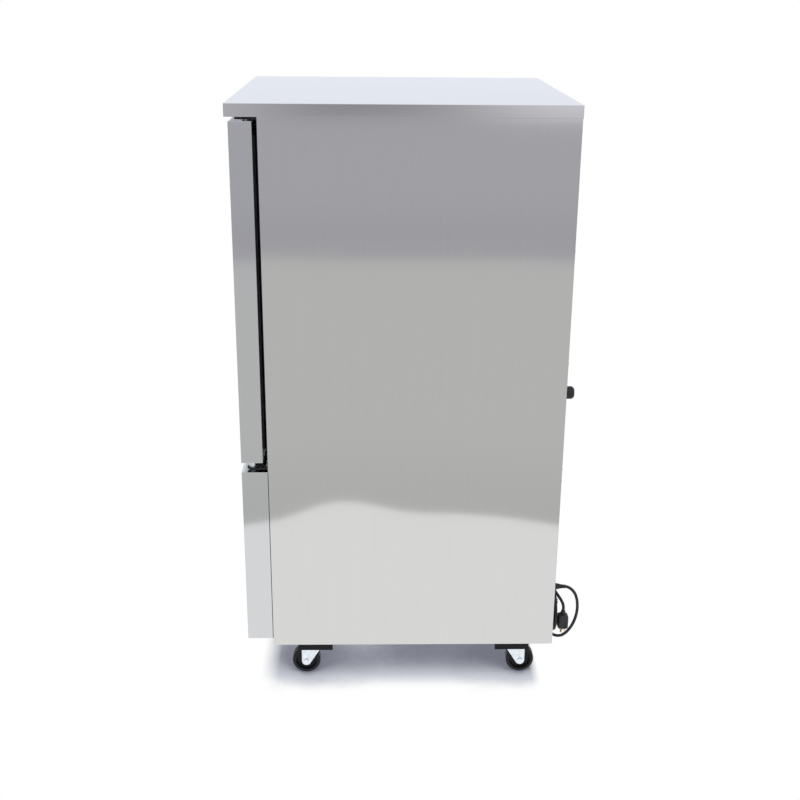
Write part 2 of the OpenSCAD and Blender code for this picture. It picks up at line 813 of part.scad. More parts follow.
module door_bushes() color("ivory") difference() {
    for (z = [door_z, door_top - pin_l]) translate([hinge_x, hinge_y, z]) cylinder(d = bush_d, h = pin_l);
    for (z = [door_z - 1, door_top - pin_l - 1])
        translate([hinge_x, hinge_y, z]) cylinder(d = pin_d + 2 * pin_clearance, h = pin_l + 2);
}

// ---- hinges ----

// A plate out to the hinge axis, and a tab that lies on the cabinet's front
module hinge_bracket(plate_z, tab_z) difference() {
    union() {
        translate([hinge_x, hinge_y, plate_z]) cylinder(r = hinge_plate_r, h = bracket_t);
        bar([hinge_x - hinge_plate_r, hinge_y, plate_z],
            [hinge_x + hinge_plate_r, body_front, plate_z + bracket_t]);
        bar([side_x - panel_gap - hinge_tab_w, body_front - bracket_t + 1, tab_z],
            [side_x - panel_gap, body_front, tab_z + hinge_tab_h]);
    }
    translate([hinge_x, hinge_y, plate_z - 1]) cylinder(d = pin_d, h = bracket_t + 2);
}

module hinge_brackets() color(zinc) {
    hinge_bracket(low_plate_z, low_plate_z);
    hinge_bracket(top_plate_z, top_plate_z);
}

module hinge_pins() color(zinc) {
    collar = pin_collar_d / 2;
    low_top = low_plate_z + bracket_t;
    translate([hinge_x, hinge_y, low_plate_z]) cylinder(d = pin_d, h = door_z + pin_l - 1 - low_plate_z);
    difference() {
        translate([hinge_x, hinge_y, low_top]) cylinder(r = collar, h = door_z - hinge_gap - low_top);
        translate([hinge_x, hinge_y, low_top - 1]) cylinder(d = pin_d - 1, h = door_z);
    }
    translate([hinge_x, hinge_y, door_top - pin_l + 1])
        cylinder(d = pin_d, h = top_plate_z + bracket_t - door_top + pin_l - 1);
    translate([hinge_x, hinge_y, door_top + hinge_gap])
        cylinder(r = collar, h = top_plate_z - door_top - hinge_gap);
}

// ---- lower front and controls ----

module lower_front_panel() color(steel) difference() {
    z = lower_z + 40;
    x = (louvre_w + louvre_gap) / 2;
    union() {
        difference() {
            bar([-side_x, door_front, lower_z], [side_x, body_front, lower_top]);
            bar([-side_x + sheet, door_front + sheet, lower_z + sheet],
                [side_x - sheet, body_front + 1, lower_top - sheet]);
        }
        for (s = [-1, 1]) louvre_hoods(s * x, door_front, z, front_louvres);
    }
    for (s = [-1, 1]) louvre_slots(s * x, door_front, z, front_louvres);
    bar([-control_w / 2 + control_edge, door_front - 1, control_z - control_h / 2 + control_edge],
        [control_w / 2 - control_edge, door_front + sheet + 1,
         control_z + control_h / 2 - control_edge]);
}

function key_x(i) = control_w / 2 - 30 - (3 - i) * key_pitch;

module control_panel() color(dark) {
    wall = 2;
    edge = control_edge;
    difference() {
        union() {
            bar([-control_w / 2, control_front, control_z - control_h / 2],
                [control_w / 2, door_front, control_z + control_h / 2]);
            bar([-control_w / 2 + edge, door_front, control_z - control_h / 2 + edge],
                [control_w / 2 - edge, door_front + control_deep, control_z + control_h / 2 - edge]);
        }
        bar([-control_w / 2 + edge + wall, control_front + 2 + wall,
             control_z - control_h / 2 + edge + wall],
            [control_w / 2 - edge - wall, door_front + control_deep - wall,
             control_z + control_h / 2 - edge - wall]);
        bar([display_x - display_w / 2, control_front - 1, control_z - display_h / 2],
            [display_x + display_w / 2, control_front + 2, control_z + display_h / 2]);
        for (i = [0 : 3]) bar(
            [key_x(i) - key_w / 2 - key_clearance, control_front - 1,
             control_z - key_h / 2 - key_clearance],
            [key_x(i) + key_w / 2 + key_clearance, control_front + 10,
             control_z + key_h / 2 + key_clearance]);
    }
    // switches behind the keys
    for (i = [0 : 3]) {
        stop_y = control_front + 2 + wall + key_clearance + key_collar + key_travel + key_clearance;
        bar([key_x(i) - 3, stop_y, control_z - 3],
            [key_x(i) + 3, door_front + control_deep - wall, control_z + 3]);
    }
}

module display_window() color([0.05, 0.06, 0.09]) {
    bar([display_x - display_w / 2, control_front, control_z - display_h / 2],
        [display_x + display_w / 2, control_front + 2, control_z + display_h / 2]);
}

// A key: its cap stands out of the panel, its collar keeps it in
module key(i) color("silver") {
    back = control_front + 4 + key_clearance;
    translate([key_x(i), 0, control_z]) {
        along_y(control_front - key_stand, back)
            round_rect(-key_w / 2, key_w / 2, -key_h / 2, key_h / 2, 3);
        along_y(back, back + key_collar)
            round_rect(-key_w / 2 - 2, key_w / 2 + 2, -key_h / 2 - 2, key_h / 2 + 2, 2);
    }
}

// ---- base and castors ----

// A shallow tray of sheet with two rails for the compressor and slots for the condenser's air
module base_frame() color("lightslategray") difference() {
    x = side_x - sheet;
    y0 = body_front + sheet;
    y1 = body_rear - sheet;
    wall = 2;
    rail_w = 28;
    slot_w = 10;
    slot_pitch = 30;
    slot_y = condenser_rear + 60;
    union() {
        difference() {
            bar([-x, y0, body_z], [x, y1, body_z + base_wall]);
            bar([-x + wall, y0 + wall, bay_floor], [x - wall, y1 - wall, body_z + base_wall + 1]);
        }
        for (y = [compressor_y - compressor_base, compressor_y + compressor_base])
            bar([compressor_x - 210, y - rail_w / 2, bay_floor],
                [x - wall, y + rail_w / 2, bay_floor + rail_h]);
    }
    for (i = [-5 : 5]) translate([condenser_mid + i * slot_pitch, slot_y, body_z - 1])
        cube([slot_w, 110, bay_floor - body_z + 2]);
}

module castor_brackets() color(dark) at_each_castor() difference() {
    bar([-mount_w / 2, -mount_l / 2, body_z - mount_h], [mount_w / 2, mount_l / 2, body_z]);
    bar([-mount_w / 2 + mount_t, -mount_l / 2 - 1, body_z - mount_h - 1],
        [mount_w / 2 - mount_t, mount_l / 2 + 1, body_z - mount_t]);
    translate([0, 0, body_z - mount_t - 1]) cylinder(d = 20, h = mount_t + 2);
}

module castor_plates() color(zinc) at_each_castor() {
    w = mount_w - 2 * mount_t - 2;
    l = mount_l - 2;
    bar([-w / 2, -l / 2, plate_z], [w / 2, l / 2, plate_z + mount_t]);
    translate([0, 0, plate_z + mount_t]) cylinder(d = 18, h = mount_t - 0.5);
    translate([0, 0, race_z + fit]) cylinder(r = race_r + 3, h = plate_z - race_z - fit);
    translate([0, 0, web_z - fit]) cylinder(d = king_d, h = plate_z - web_z + fit);
    translate([0, 0, web_z - fit - 3]) cylinder(d = king_d + 8, h = 3);
    for (x = [-22, 22], y = [-36, 36]) translate([x, y, plate_z - 4]) cylinder(d = 12, h = 4.1);
}

// Fork: two legs from a web over the wheel, a crown and a race, and the axle with its two heads
module fork() color(zinc) {
    leg_r = 12;
    front_foot = [-14, web_z + fork_t];
    d = front_foot - [trail, wheel_r];
    tangent = atan2(d[1], d[0]) + acos(leg_r / norm(d));
    for (s = [-1, 1]) along_x(s > 0 ? fork_x - fork_t : -fork_x, s > 0 ? fork_x : -fork_x + fork_t) {
        translate([trail, wheel_r]) circle(leg_r);
        polygon([front_foot, [trail + leg_r, web_z + fork_t], [trail + leg_r, wheel_r],
                 [trail, wheel_r],
                 [trail + leg_r * cos(tangent), wheel_r + leg_r * sin(tangent)]]);
    }
    difference() {
        union() {
            bar([-fork_x, -14, web_z], [fork_x, trail + leg_r, web_z + fork_t]);
            translate([0, 0, web_z]) cylinder(r = crown_r, h = 6);
            translate([0, 0, web_z + 6]) cylinder(r = race_r, h = race_z - web_z - 6);
        }
        translate([0, 0, web_z - 1]) cylinder(d = king_d + 2 * castor_clearance, h = race_z);
    }
    translate([-fork_x, trail, wheel_r]) rotate([0, 90, 0]) cylinder(d = axle_d, h = 2 * fork_x);
    translate([fork_x, trail, wheel_r]) rotate([0, 90, 0]) cylinder(d = 13, h = 4);
    translate([-fork_x - 5, trail, wheel_r]) rotate([0, 90, 0]) cylinder(d = 15, h = 5, $fn = 6);
}

// Wheel: a tread with round shoulders, a dished side and a hub with its bore
module wheel() color(dark) translate([0, trail, wheel_r]) rotate([0, 90, 0]) rotate_extrude() {
    shoulder = 4;
    rim_r = wheel_r - 9;
    hub_r = 11;
    bore_r = axle_d / 2 + castor_clearance;
    difference() {
        union() {
            translate([rim_r, -wheel_w / 2]) square([wheel_r - rim_r - shoulder, wheel_w]);
            translate([rim_r, -wheel_w / 2 + shoulder])
                square([wheel_r - rim_r, wheel_w - 2 * shoulder]);
            for (s = [-1, 1]) translate([wheel_r - shoulder, s * (wheel_w / 2 - shoulder)])
                circle(shoulder);
            translate([0, -hub_x]) square([hub_r, 2 * hub_x]);
            translate([0, -5]) square([rim_r + 1, 10]);
        }
        translate([-1, -hub_x - 1]) square([bore_r + 1, 2 * hub_x + 2]);
    }
}

// ---- machinery ----

module compressor() color(dark) translate([compressor_x, compressor_y, compressor_z]) {
    r = compressor_d / 2;
    crown = 46;
    rotate_extrude() {
        translate([0, 12]) square([r - crown, compressor_h - 12]);
        translate([0, 12 + crown / 2]) square([r, compressor_h - crown - 12 - crown / 2]);
        intersection() {
            translate([r - crown, compressor_h - crown]) circle(crown);
            square([r, compressor_h]);
        }
        intersection() {
            translate([r - crown / 2, 12 + crown / 2]) circle(crown / 2);
            square([r, compressor_h]);
        }
        translate([0, 12]) square([r - crown / 2, 30]);
        // weld seam
        translate([r - 1, compressor_h * 0.45]) square([5, 6]);
    }
    difference() {
        union() {
            bar([-r, -16, 0], [r, 16, 12]);
            for (y = [-compressor_base, compressor_base]) bar([-r, y - 14, 0], [r, y + 14, 5]);
            for (x = [-60, 60]) bar([x - 14, -compressor_base, 0], [x + 14, compressor_base, 5]);
        }
        for (x = [-1, 1], y = [-1, 1]) translate([x * (r - mount_in), y * compressor_base, -1])
            cylinder(d = 14, h = 8);
    }
    // terminal cover, suction stub and discharge stub
    bar([r - 10, -24, 90], [r + 26, 24, 160]);
    translate([-r + 6, 0, 60]) rotate([0, -90, 0]) cylinder(d = suction_d + 6, h = 22);
    translate([-20, -r + 6, 120]) rotate([90, 0, 0]) cylinder(d = liquid_d + 6, h = 20);
}

// Rubber feet: a body under the compressor's foot, a neck through it and a head above it
module compressor_mounts() color(dark) {
    r = compressor_d / 2;
    foot_h = compressor_z - bay_floor - rail_h;
    for (x = [-1, 1], y = [-1, 1])
        translate([compressor_x + x * (r - mount_in), compressor_y + y * compressor_base,
                   bay_floor + rail_h]) {
            cylinder(d = 26, h = foot_h);
            cylinder(d = 13.4, h = foot_h + 7);
            translate([0, 0, foot_h + 5.3]) cylinder(d = 20, h = 5);
        }
}

module condenser_coil() color("silver") {
    translate([condenser_x, condenser_y, condenser_z])
        finned_coil(condenser_w, condenser_d, condenser_h, 8, 2, condenser_fins);
    for (x = [condenser_x, condenser_x + condenser_w])
        bar([x - 2, condenser_y, bay_floor], [x + 2, condenser_rear, condenser_z + condenser_h]);
}

// A hood behind the condenser with a ring round its fan
module condenser_shroud() color("lightslategray") difference() {
    hood = 14;
    wall = 2;
    x0 = condenser_x - 3;
    x1 = condenser_x + condenser_w + 3;
    z1 = condenser_z + condenser_h;
    union() {
        bar([x0, condenser_rear, bay_floor], [x1, condenser_rear + hood, z1]);
        translate([condenser_mid, condenser_rear, condenser_fan_z]) rotate([-90, 0, 0])
            cylinder(d = condenser_fan_d + 10 + 2 * wall, h = shroud_deep);
    }
    bar([x0 + wall, condenser_rear - 1, bay_floor + wall],
        [x1 - wall, condenser_rear + hood - wall, z1 - wall]);
    translate([condenser_mid, condenser_rear - 1, condenser_fan_z]) rotate([-90, 0, 0])
        cylinder(d = condenser_fan_d + 10, h = shroud_deep + 2);
}

// A motor that drives a fan at the origin, standing at +y of it, held by four arms
module fan_motor(reach, back) {
    front = hub_l / 2 + motor_gap;
    arm = 8;
    arm_z = hub_l / 2 + 20;
    rotate([-90, 0, 0]) {
        translate([0, 0, -hub_l / 2]) cylinder(d = shaft_d, h = hub_l + 2);
        translate([0, 0, hub_l / 2 + 1]) cylinder(d = 30, h = motor_gap);
        translate([0, 0, front]) cylinder(d = motor_d, h = motor_l);
        translate([0, 0, front + motor_l]) domed_stud(motor_d - 14, 9, 6);
        for (a = [45 : 90 : 315]) rotate([0, 0, a]) {
            translate([motor_d / 2 - 4, -arm / 2, arm_z]) cube([reach - motor_d / 2 + 4, arm, 4]);
            translate([reach - arm, -arm / 2, back]) cube([arm, arm, arm_z + 4 - back]);
        }
    }
}

module fan_motors() color("dimgray") {
    for (s = [-1, 1]) translate([0, fan_panel_y + 4, fan_z + s * fan_spacing / 2])
        fan_motor(fan_d / 2 + 14, -4 + sheet);
    // the condenser's motor is carried by its shroud's ring
    translate([condenser_mid, condenser_fan_y, condenser_fan_z])
        fan_motor(condenser_fan_d / 2 + 7 + 8 + fit, -12);
}

module condenser_fan_blade() color(dark)
    translate([condenser_mid, condenser_fan_y, condenser_fan_z]) axial_fan(condenser_fan_d, 5);

module upper_fan_blade() color(dark)
    translate([0, fan_panel_y + 4, fan_z + fan_spacing / 2]) axial_fan(fan_d, 5);

module lower_fan_blade() color(dark)
    translate([0, fan_panel_y + 4, fan_z - fan_spacing / 2]) axial_fan(fan_d, 5);

module liquid_receiver() color(dark) translate([receiver_x, receiver_y, bay_floor]) {
    difference() {
        translate([0, 0, 10]) domed_stud(receiver_d, receiver_h - 10, receiver_d * 0.3);
        translate([0, 0, 9]) cylinder(d = receiver_d - 30, h = 3);
    }
    difference() {
        cylinder(d = receiver_d - 16, h = 14);
        translate([0, 0, -1]) cylinder(d = receiver_d - 22, h = 12);
    }
}

module refrigerant_pipes() color(copper) {
    comp_r = compressor_d / 2;
    // discharge: compressor to condenser
    out_x = compressor_x - 20;
    out_y = compressor_y - comp_r - 14;
    out_z = compressor_z + 120;
    in_x = condenser_x - 12;
    over_z = condenser_z + condenser_h + 20;
    pipe_run([[out_x, out_y, out_z], [out_x, out_y - 26, out_z], [out_x, out_y - 26, over_z],
              [in_x, out_y - 26, over_z], [in_x, condenser_y + condenser_d * 0.75, over_z],
              [in_x, condenser_y + condenser_d * 0.75,
               condenser_z + condenser_h * 15 / 16 + tube_d / 2]], liquid_d);
    // liquid: receiver up through the insulation to the evaporator
    top_z = bay_floor + receiver_h;
    line_z = top_z + 60;
    pipe_run([[receiver_x, receiver_y, top_z], [receiver_x, receiver_y, line_z],
              [liquid_x, receiver_y, line_z], [liquid_x, pipe_y, line_z],
              [liquid_x, pipe_y, fan_z - evaporator_h / 2 + 30]], liquid_d);
    // the filter drier in the liquid line
    translate([receiver_x + 60, receiver_y, line_z]) rotate([0, 90, 0])
        cylinder(d = drier_d, h = drier_l);
    // suction: evaporator down to the compressor
    down_x = compressor_x - comp_r - 46;
    stub_z = compressor_z + 60;
    cross_z = compressor_z + compressor_h + 50;
    pipe_run([[suction_x, pipe_y, fan_z - evaporator_h / 2 + 60], [suction_x, pipe_y, cross_z],
              [down_x, pipe_y, cross_z], [down_x, compressor_y, cross_z],
              [down_x, compressor_y, stub_z], [compressor_x - comp_r - 16, compressor_y, stub_z]],
             suction_d);
}

module electrical_box() color("lightslategray") {
    wall = 2;
    x1 = box_x + box_w;
    y1 = box_y + box_d;
    z1 = box_z + box_h;
    foot = 20;
    difference() {
        bar([box_x, box_y, box_z], [x1, y1, z1]);
        bar([box_x + wall, box_y - 1, box_z + wall], [x1 - wall, y1 - wall, z1 - wall]);
    }
    // cover with a lip
    bar([box_x - 1, box_y - 3, box_z - 1], [x1 + 1, box_y, z1 + 1]);
    // feet to the base
    for (y = [box_y + foot, y1 - 2 * foot])
        bar([box_x + foot, y, bay_floor], [x1 - foot, y + foot, box_z]);
}

module drip_trays() color("gainsboro") {
    t = tray_sheet;
    y = tray_d / 2;
    difference() {
        bar([tray_x0, drain_y - y, bay_floor], [tray_x1, drain_y + y, bay_floor + tray_h]);
        bar([tray_x0 + t, drain_y - y + t, bay_floor + t],
            [tray_x1 - t, drain_y + y - t, bay_floor + tray_h + 1]);
    }
    // the pan under the evaporator, with its spout in the drain
    pan_x0 = drain_x - 30;
    pan_x1 = evaporator_w / 2 - 20;
    pan_y0 = fan_panel_y + 40;
    pan_y1 = chamber_rear - 40;
    spout_d = drain_d - 2 * drain_wall - 1;
    difference() {
        union() {
            bar([pan_x0, pan_y0, chamber_z], [pan_x1, pan_y1, chamber_z + pan_h]);
            translate([drain_x, drain_y, chamber_z - 20]) cylinder(d = spout_d, h = 21);
        }
        bar([pan_x0 + t, pan_y0 + t, chamber_z + t], [pan_x1 - t, pan_y1 - t, chamber_z + pan_h + 1]);
        translate([drain_x, drain_y, chamber_z - 21]) cylinder(d = spout_d - 2 * t, h = 30);
    }
}

// ---- rear fittings ----

module rear_spacers() color(dark) for (s = [-1, 1])
    translate([s * (side_x - spacer_inset), rear_y, spacer_z]) rotate([-90, 0, 0])
        domed_stud(spacer_d, spacer_h, 9);

module panel_screws() color("silver") {
    edge = 1.2;
    x = side_x - rear_flange / 2;
    low = rear_split_z + 18;
    high = fascia_z - 30;
    // rear panel and rear grille
    for (s = [-x, x], z = [low, low + (high - low) / 3, high - (high - low) / 3, high, body_z + 20,
                           (body_z + rear_split_z) / 2, rear_split_z - 16])
        translate([s, rear_y, z]) rotate([-90, 0, 0]) domed_stud(screw_d, screw_h, edge);
    // hinge brackets
    for (z = [low_plate_z + hinge_tab_h / 2, top_plate_z + hinge_tab_h / 2], dx = [12, 36])
        translate([side_x - panel_gap - dx, body_front - bracket_t + 1, z]) rotate([90, 0, 0])
            domed_stud(screw_d, screw_h, edge);
    // lower front panel's underside
    for (x = [-side_x + 30, side_x - 30]) translate([x, door_front + door_t / 2, lower_z])
        rotate([180, 0, 0]) domed_stud(screw_d, screw_h, edge);
}

module cord_gland() color(dark)
    translate(lead_shift + [gland_x, gland_y, gland_z]) rotate([-90, 0, 0]) {
        cylinder(d = gland_nut_d, h = gland_nut_h, $fn = 6);
        translate([0, 0, gland_nut_h - 0.1])
            cylinder(d1 = gland_thread_d + 1, d2 = cord_d + 3, h = gland_l - gland_nut_h + 0.1);
        translate([0, 0, -12]) cylinder(d = gland_thread_d, h = 13);
        translate([0, 0, -sheet - gland_nut_h]) cylinder(d = gland_nut_d, h = gland_nut_h, $fn = 6);
    }

module cord_hook() color("silver") {
    peg_d = 12;
    inner = coil_r - coil_pitch * (coil_turns / 2 - 0.25);
    peg_z = coil_z + inner - cord_r - fit - peg_d / 2;
    translate(lead_shift + [coil_x, gland_y, peg_z]) rotate([-90, 0, 0]) {
        cylinder(d = 26, h = 2);
        cylinder(d = peg_d, h = spacer_h - 1);
        translate([0, 0, spacer_h - 3]) cylinder(d = 24, h = 3);
    }
}

// ---- mains lead ----

// Direction of the path at point i
function heading(p, i) = unit(p[min(i + 1, len(p) - 1)] - p[max(i - 1, 0)]);

// A round tube through the points: one ring at each, closed at both ends
module tube(p, r, sides) {
    rings = [for (i = [0 : len(p) - 1])
        let (t = i == 0 ? unit(p[1] - p[0]) : i == len(p) - 1 ? unit(p[i] - p[i - 1]) : heading(p, i),
             u = unit(cross([0.37, 0.61, 0.7], t)), v = cross(t, u))
        for (k = [0 : sides - 1]) p[i] + r * (cos(k * 360 / sides) * u + sin(k * 360 / sides) * v)];
    last = (len(p) - 1) * sides;
    polyhedron(rings, concat(
        [for (k = [1 : sides - 2]) [0, k, k + 1]],
        [for (k = [1 : sides - 2]) [last, last + k + 1, last + k]],
        [for (i = [0 : len(p) - 2], k = [0 : sides - 1])
            let (a = i * sides + k, b = i * sides + (k + 1) % sides) [a, a + sides, b]],
        [for (i = [0 : len(p) - 2], k = [0 : sides - 1])
            let (a = i * sides + k, b = i * sides + (k + 1) % sides) [b, a + sides, b + sides]]));
}

// The coil: it spirals in on the wall's side, climbs a layer and spirals out again
coil_half = coil_turns / 2;
function coil_radius(t) = coil_r - coil_pitch * (coil_half - abs(t - coil_half));
function coil_layer(t) = coil_y + coil_pitch * min(1, max(0, (t - coil_half + 0.25) * 2));
function coil_point(t) = [coil_x + coil_radius(t) * cos(-90 - 360 * t), coil_layer(t),
                          coil_z + coil_radius(t) * sin(-90 - 360 * t)];
coil_path = concat([[coil_x + cord_d, coil_y, coil_z - coil_r]],
    [for (i = [0 : coil_turns * coil_steps]) coil_point(i / coil_steps)],
    [[coil_x + cord_d, coil_y + coil_pitch, coil_z + coil_r]]);
// Least distance between turns, less the lead's own thickness
coil_gap = min([for (i = [0 : len(coil_path) - 1]) for (j = [i + 12 : 1 : len(coil_path) - 1])
    norm(coil_path[i] - coil_path[j])]) - cord_d;
echo(least_gap_in_coil = coil_gap);

module power_cord() color(dark) translate(lead_shift) {
    tube(lead_points, cord_r, 12);
    tube(tail_points, cord_r, 12);
}

module cord_coil() color(dark) translate(lead_shift) tube(coil_path, cord_r, 6);

// A moulded plug that hangs from the lead: relief, body, two blades and an earth pin
module cord_plug() color(dark) translate(lead_shift + tail_points[len(tail_points) - 1]) {
    end = -plug_relief - plug_h;
    blade = [1.6, 6.5, plug_pin + 1];
    translate([0, 0, -plug_relief]) cylinder(r1 = 8, r2 = cord_r + 1, h = plug_relief);
    translate([0, 0, end]) linear_extrude(height = plug_h)
        round_rect(-plug_w / 2, plug_w / 2, -plug_t / 2, plug_t / 2, 9);
    for (x = [-6.4, 6.4]) translate([x - blade[0] / 2, -7, end - plug_pin]) cube(blade);
    translate([0, 6, end - plug_pin]) cylinder(d = 4.8, h = plug_pin + 1);
}

worktop();
right_side_panel();
left_side_panel();
rear_panel();
rear_grille();
insulation_foam();
cavity_liner();
door_frame_trim();
drain_fitting();
base_frame();
castor_brackets();
castor_plates();
lower_front_panel();
control_panel();
display_window();
hinge_brackets();
hinge_pins();
compressor();
compressor_mounts();
condenser_coil();
condenser_shroud();
fan_motors();
liquid_receiver();
refrigerant_pipes();
electrical_box();
drip_trays();
evaporator_coil();
fan_panel();
fan_guards();
left_tray_rack();
right_tray_rack();
rear_spacers();
panel_screws();
cord_gland();
cord_hook();
power_cord();
cord_coil();
cord_plug();
condenser_fan_blade();
upper_fan_blade();
lower_fan_blade();
key(0);  // key_1
key(1);  // key_2
key(2);  // key_3
key(3);  // key_4
door_skin();
door_foam();
door_liner();
door_gasket();
door_grip();
door_bushes();
at_castor(1, 1) fork();  // fork_front_right
at_castor(-1, 1) fork();  // fork_front_left
at_castor(1, -1) fork();  // fork_rear_right
at_castor(-1, -1) fork();  // fork_rear_left
at_castor(1, 1) wheel();  // wheel_front_right
at_castor(-1, 1) wheel();  // wheel_front_left
at_castor(1, -1) wheel();  // wheel_rear_right
at_castor(-1, -1) wheel();  // wheel_rear_left
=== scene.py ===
import math

import bmesh
import bpy
from mathutils import Matrix, Vector


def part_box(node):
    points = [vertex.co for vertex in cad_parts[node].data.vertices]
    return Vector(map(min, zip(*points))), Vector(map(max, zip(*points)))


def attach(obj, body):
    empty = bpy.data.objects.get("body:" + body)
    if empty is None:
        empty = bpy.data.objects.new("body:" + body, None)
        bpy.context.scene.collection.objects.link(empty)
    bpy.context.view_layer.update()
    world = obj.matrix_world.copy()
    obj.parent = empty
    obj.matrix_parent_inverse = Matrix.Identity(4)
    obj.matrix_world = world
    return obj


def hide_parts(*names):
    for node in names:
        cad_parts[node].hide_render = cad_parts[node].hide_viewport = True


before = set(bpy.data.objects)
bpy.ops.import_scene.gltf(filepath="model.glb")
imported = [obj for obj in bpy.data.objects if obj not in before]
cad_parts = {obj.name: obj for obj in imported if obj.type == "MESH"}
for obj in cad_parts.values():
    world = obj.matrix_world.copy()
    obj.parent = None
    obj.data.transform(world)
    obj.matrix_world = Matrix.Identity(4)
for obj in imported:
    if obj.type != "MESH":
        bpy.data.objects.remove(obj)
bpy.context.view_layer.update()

bl_info = {
    "name": "Blast chiller",
    "version": (1, 0, 0),
    "blender": (4, 5, 0),
    "location": "View3D > Sidebar > Chiller",
    "description": "Finishes, small parts, mains lead and studio for a blast chiller",
    "category": "Object",
}

MM = 0.001


# ---- sizes and colours that a user would change ----


class StudioSettings(bpy.types.PropertyGroup):
    """The camera and the room round the cabinet."""

    camera_place: bpy.props.FloatVectorProperty(
        name="Camera place", description="Where the camera stands", subtype="TRANSLATION",
        unit="LENGTH", size=3, default=(3.0921, -0.08203, 1.7580))
    camera_turn: bpy.props.FloatProperty(
        name="Camera turn", description="Turn of the camera from the straight side view",
        subtype="ANGLE", default=-0.0246)
    camera_tilt: bpy.props.FloatProperty(
        name="Camera tilt", description="Tilt of the camera below the horizon",
        subtype="ANGLE", default=0.3441)
    camera_roll: bpy.props.FloatProperty(
        name="Camera roll", description="Roll of the camera about its line of sight",
        subtype="ANGLE", default=0.0088)
    lens: bpy.props.FloatProperty(
        name="Lens", description="Focal length on a 36 mm sensor, in millimetres", default=52.43)
    paper_radius: bpy.props.FloatProperty(
        name="White floor", description="Least radius of the white floor that the steel mirrors",
        unit="LENGTH", default=1.42)
    paper_lobe: bpy.props.FloatProperty(
        name="Lobes", description="How far the white floor's edge swells outwards",
        unit="LENGTH", default=0.11)
    room_radius: bpy.props.FloatProperty(
        name="Room", description="Distance of the room's wall that the steel mirrors",
        unit="LENGTH", default=5.5)
    wall_height: bpy.props.FloatProperty(
        name="Wall height", description="Height of the grey wall that the steel mirrors",
        unit="LENGTH", default=1.35)
    plain_height: bpy.props.FloatProperty(
        name="Plain height", description="Height up to which the wall has no bays",
        unit="LENGTH", default=0.919)
    near_floor_colour: bpy.props.FloatVectorProperty(
        name="Near floor", description="Tone of the room's floor next to the white one",
        subtype="COLOR", size=3, min=0, max=1, default=(0.60, 0.60, 0.59))
    room_floor_colour: bpy.props.FloatVectorProperty(
        name="Room floor", description="Tone of the room's floor further out",
        subtype="COLOR", size=3, min=0, max=1, default=(0.655, 0.655, 0.65))
    room_wall_colour: bpy.props.FloatVectorProperty(
        name="Room wall", description="Tone of the room's wall",
        subtype="COLOR", size=3, min=0, max=1, default=(0.524, 0.517, 0.557))
    sky_colour: bpy.props.FloatVectorProperty(
        name="Light above", description="Tone that the steel mirrors from above the wall",
        subtype="COLOR", size=3, min=0, max=1, default=(0.88, 0.91, 0.99))
    shade_reach: bpy.props.FloatProperty(
        name="Shade's reach", description="How far the cabinet shades the floor",
        unit="LENGTH", default=0.16)


class SteelSettings(bpy.types.PropertyGroup):
    """The brushed stainless steel."""

    colour: bpy.props.FloatVectorProperty(
        name="Steel", description="Colour of the stainless steel",
        subtype="COLOR", size=3, min=0, max=1, default=(0.668, 0.668, 0.663))
    roughness: bpy.props.FloatProperty(
        name="Roughness", description="Roughness along the grain", default=0.07, min=0, max=1)
    grain_width: bpy.props.FloatProperty(
        name="Grain width", description="Width of one line of the brushed grain",
        unit="LENGTH", default=0.0006, precision=4)
    grain_depth: bpy.props.FloatProperty(
        name="Grain depth", description="Depth of the brushed grain",
        unit="LENGTH", default=0.000004, precision=6)
    wave_width: bpy.props.FloatProperty(
        name="Wave width", description="Size of the sheet's slight waves",
        unit="LENGTH", default=0.42)
    wave_depth: bpy.props.FloatProperty(
        name="Wave depth", description="Depth of the sheet's slight waves",
        unit="LENGTH", default=0.0014, precision=5)
    edge: bpy.props.FloatProperty(
        name="Edge", description="Radius of the sheet's folded edges",
        unit="LENGTH", default=0.0008, precision=5)


class LeadSettings(bpy.types.PropertyGroup):
    """The mains lead."""

    diameter: bpy.props.FloatProperty(
        name="Diameter", description="Diameter of the lead", unit="LENGTH", default=0.008)
    length: bpy.props.FloatProperty(
        name="Length", description="Real length of the lead", unit="LENGTH", default=2.25)
    coil_radius: bpy.props.FloatProperty(
        name="Coil radius", description="Radius of the coil's outermost turn",
        unit="LENGTH", default=0.0609, precision=4)
    coil_pitch: bpy.props.FloatProperty(
        name="Coil pitch", description="Distance between neighbouring turns",
        unit="LENGTH", default=0.0086, precision=4)
    coil_turns: bpy.props.FloatProperty(
        name="Turns", description="Turns in the coil", default=6.5)
    colour: bpy.props.FloatVectorProperty(
        name="Lead colour", description="Colour of the lead's sheath",
        subtype="COLOR", size=3, min=0, max=1, default=(0.018, 0.018, 0.020))


class CastorSettings(bpy.types.PropertyGroup):
    """The finishes of the castors."""

    zinc: bpy.props.FloatVectorProperty(
        name="Zinc", description="Colour of the zinc plate",
        subtype="COLOR", size=3, min=0, max=1, default=(0.80, 0.85, 0.90))
    tread: bpy.props.FloatVectorProperty(
        name="Tread", description="Colour of the wheels",
        subtype="COLOR", size=3, min=0, max=1, default=(0.010, 0.0105, 0.0125))


SETTINGS = {
    "chiller_studio": StudioSettings,
    "chiller_steel": SteelSettings,
    "chiller_lead": LeadSettings,
    "chiller_castors": CastorSettings,
}


# ---- modelling helpers ----


def deselect():
    """Nothing stays selected, so that an operator acts on the new piece alone."""
    for o in bpy.context.selected_objects:
        o.select_set(False)


def select(*pieces):
    """Only these pieces are selected, and the last is the active one."""
    deselect()
    for piece in pieces:
        piece.select_set(True)
    bpy.context.view_layer.objects.active = pieces[-1]


def named(name):
    """The piece that an operator has just made, under its name."""
    piece = bpy.context.active_object
    piece.name = name
    piece.data.name = name
    return piece


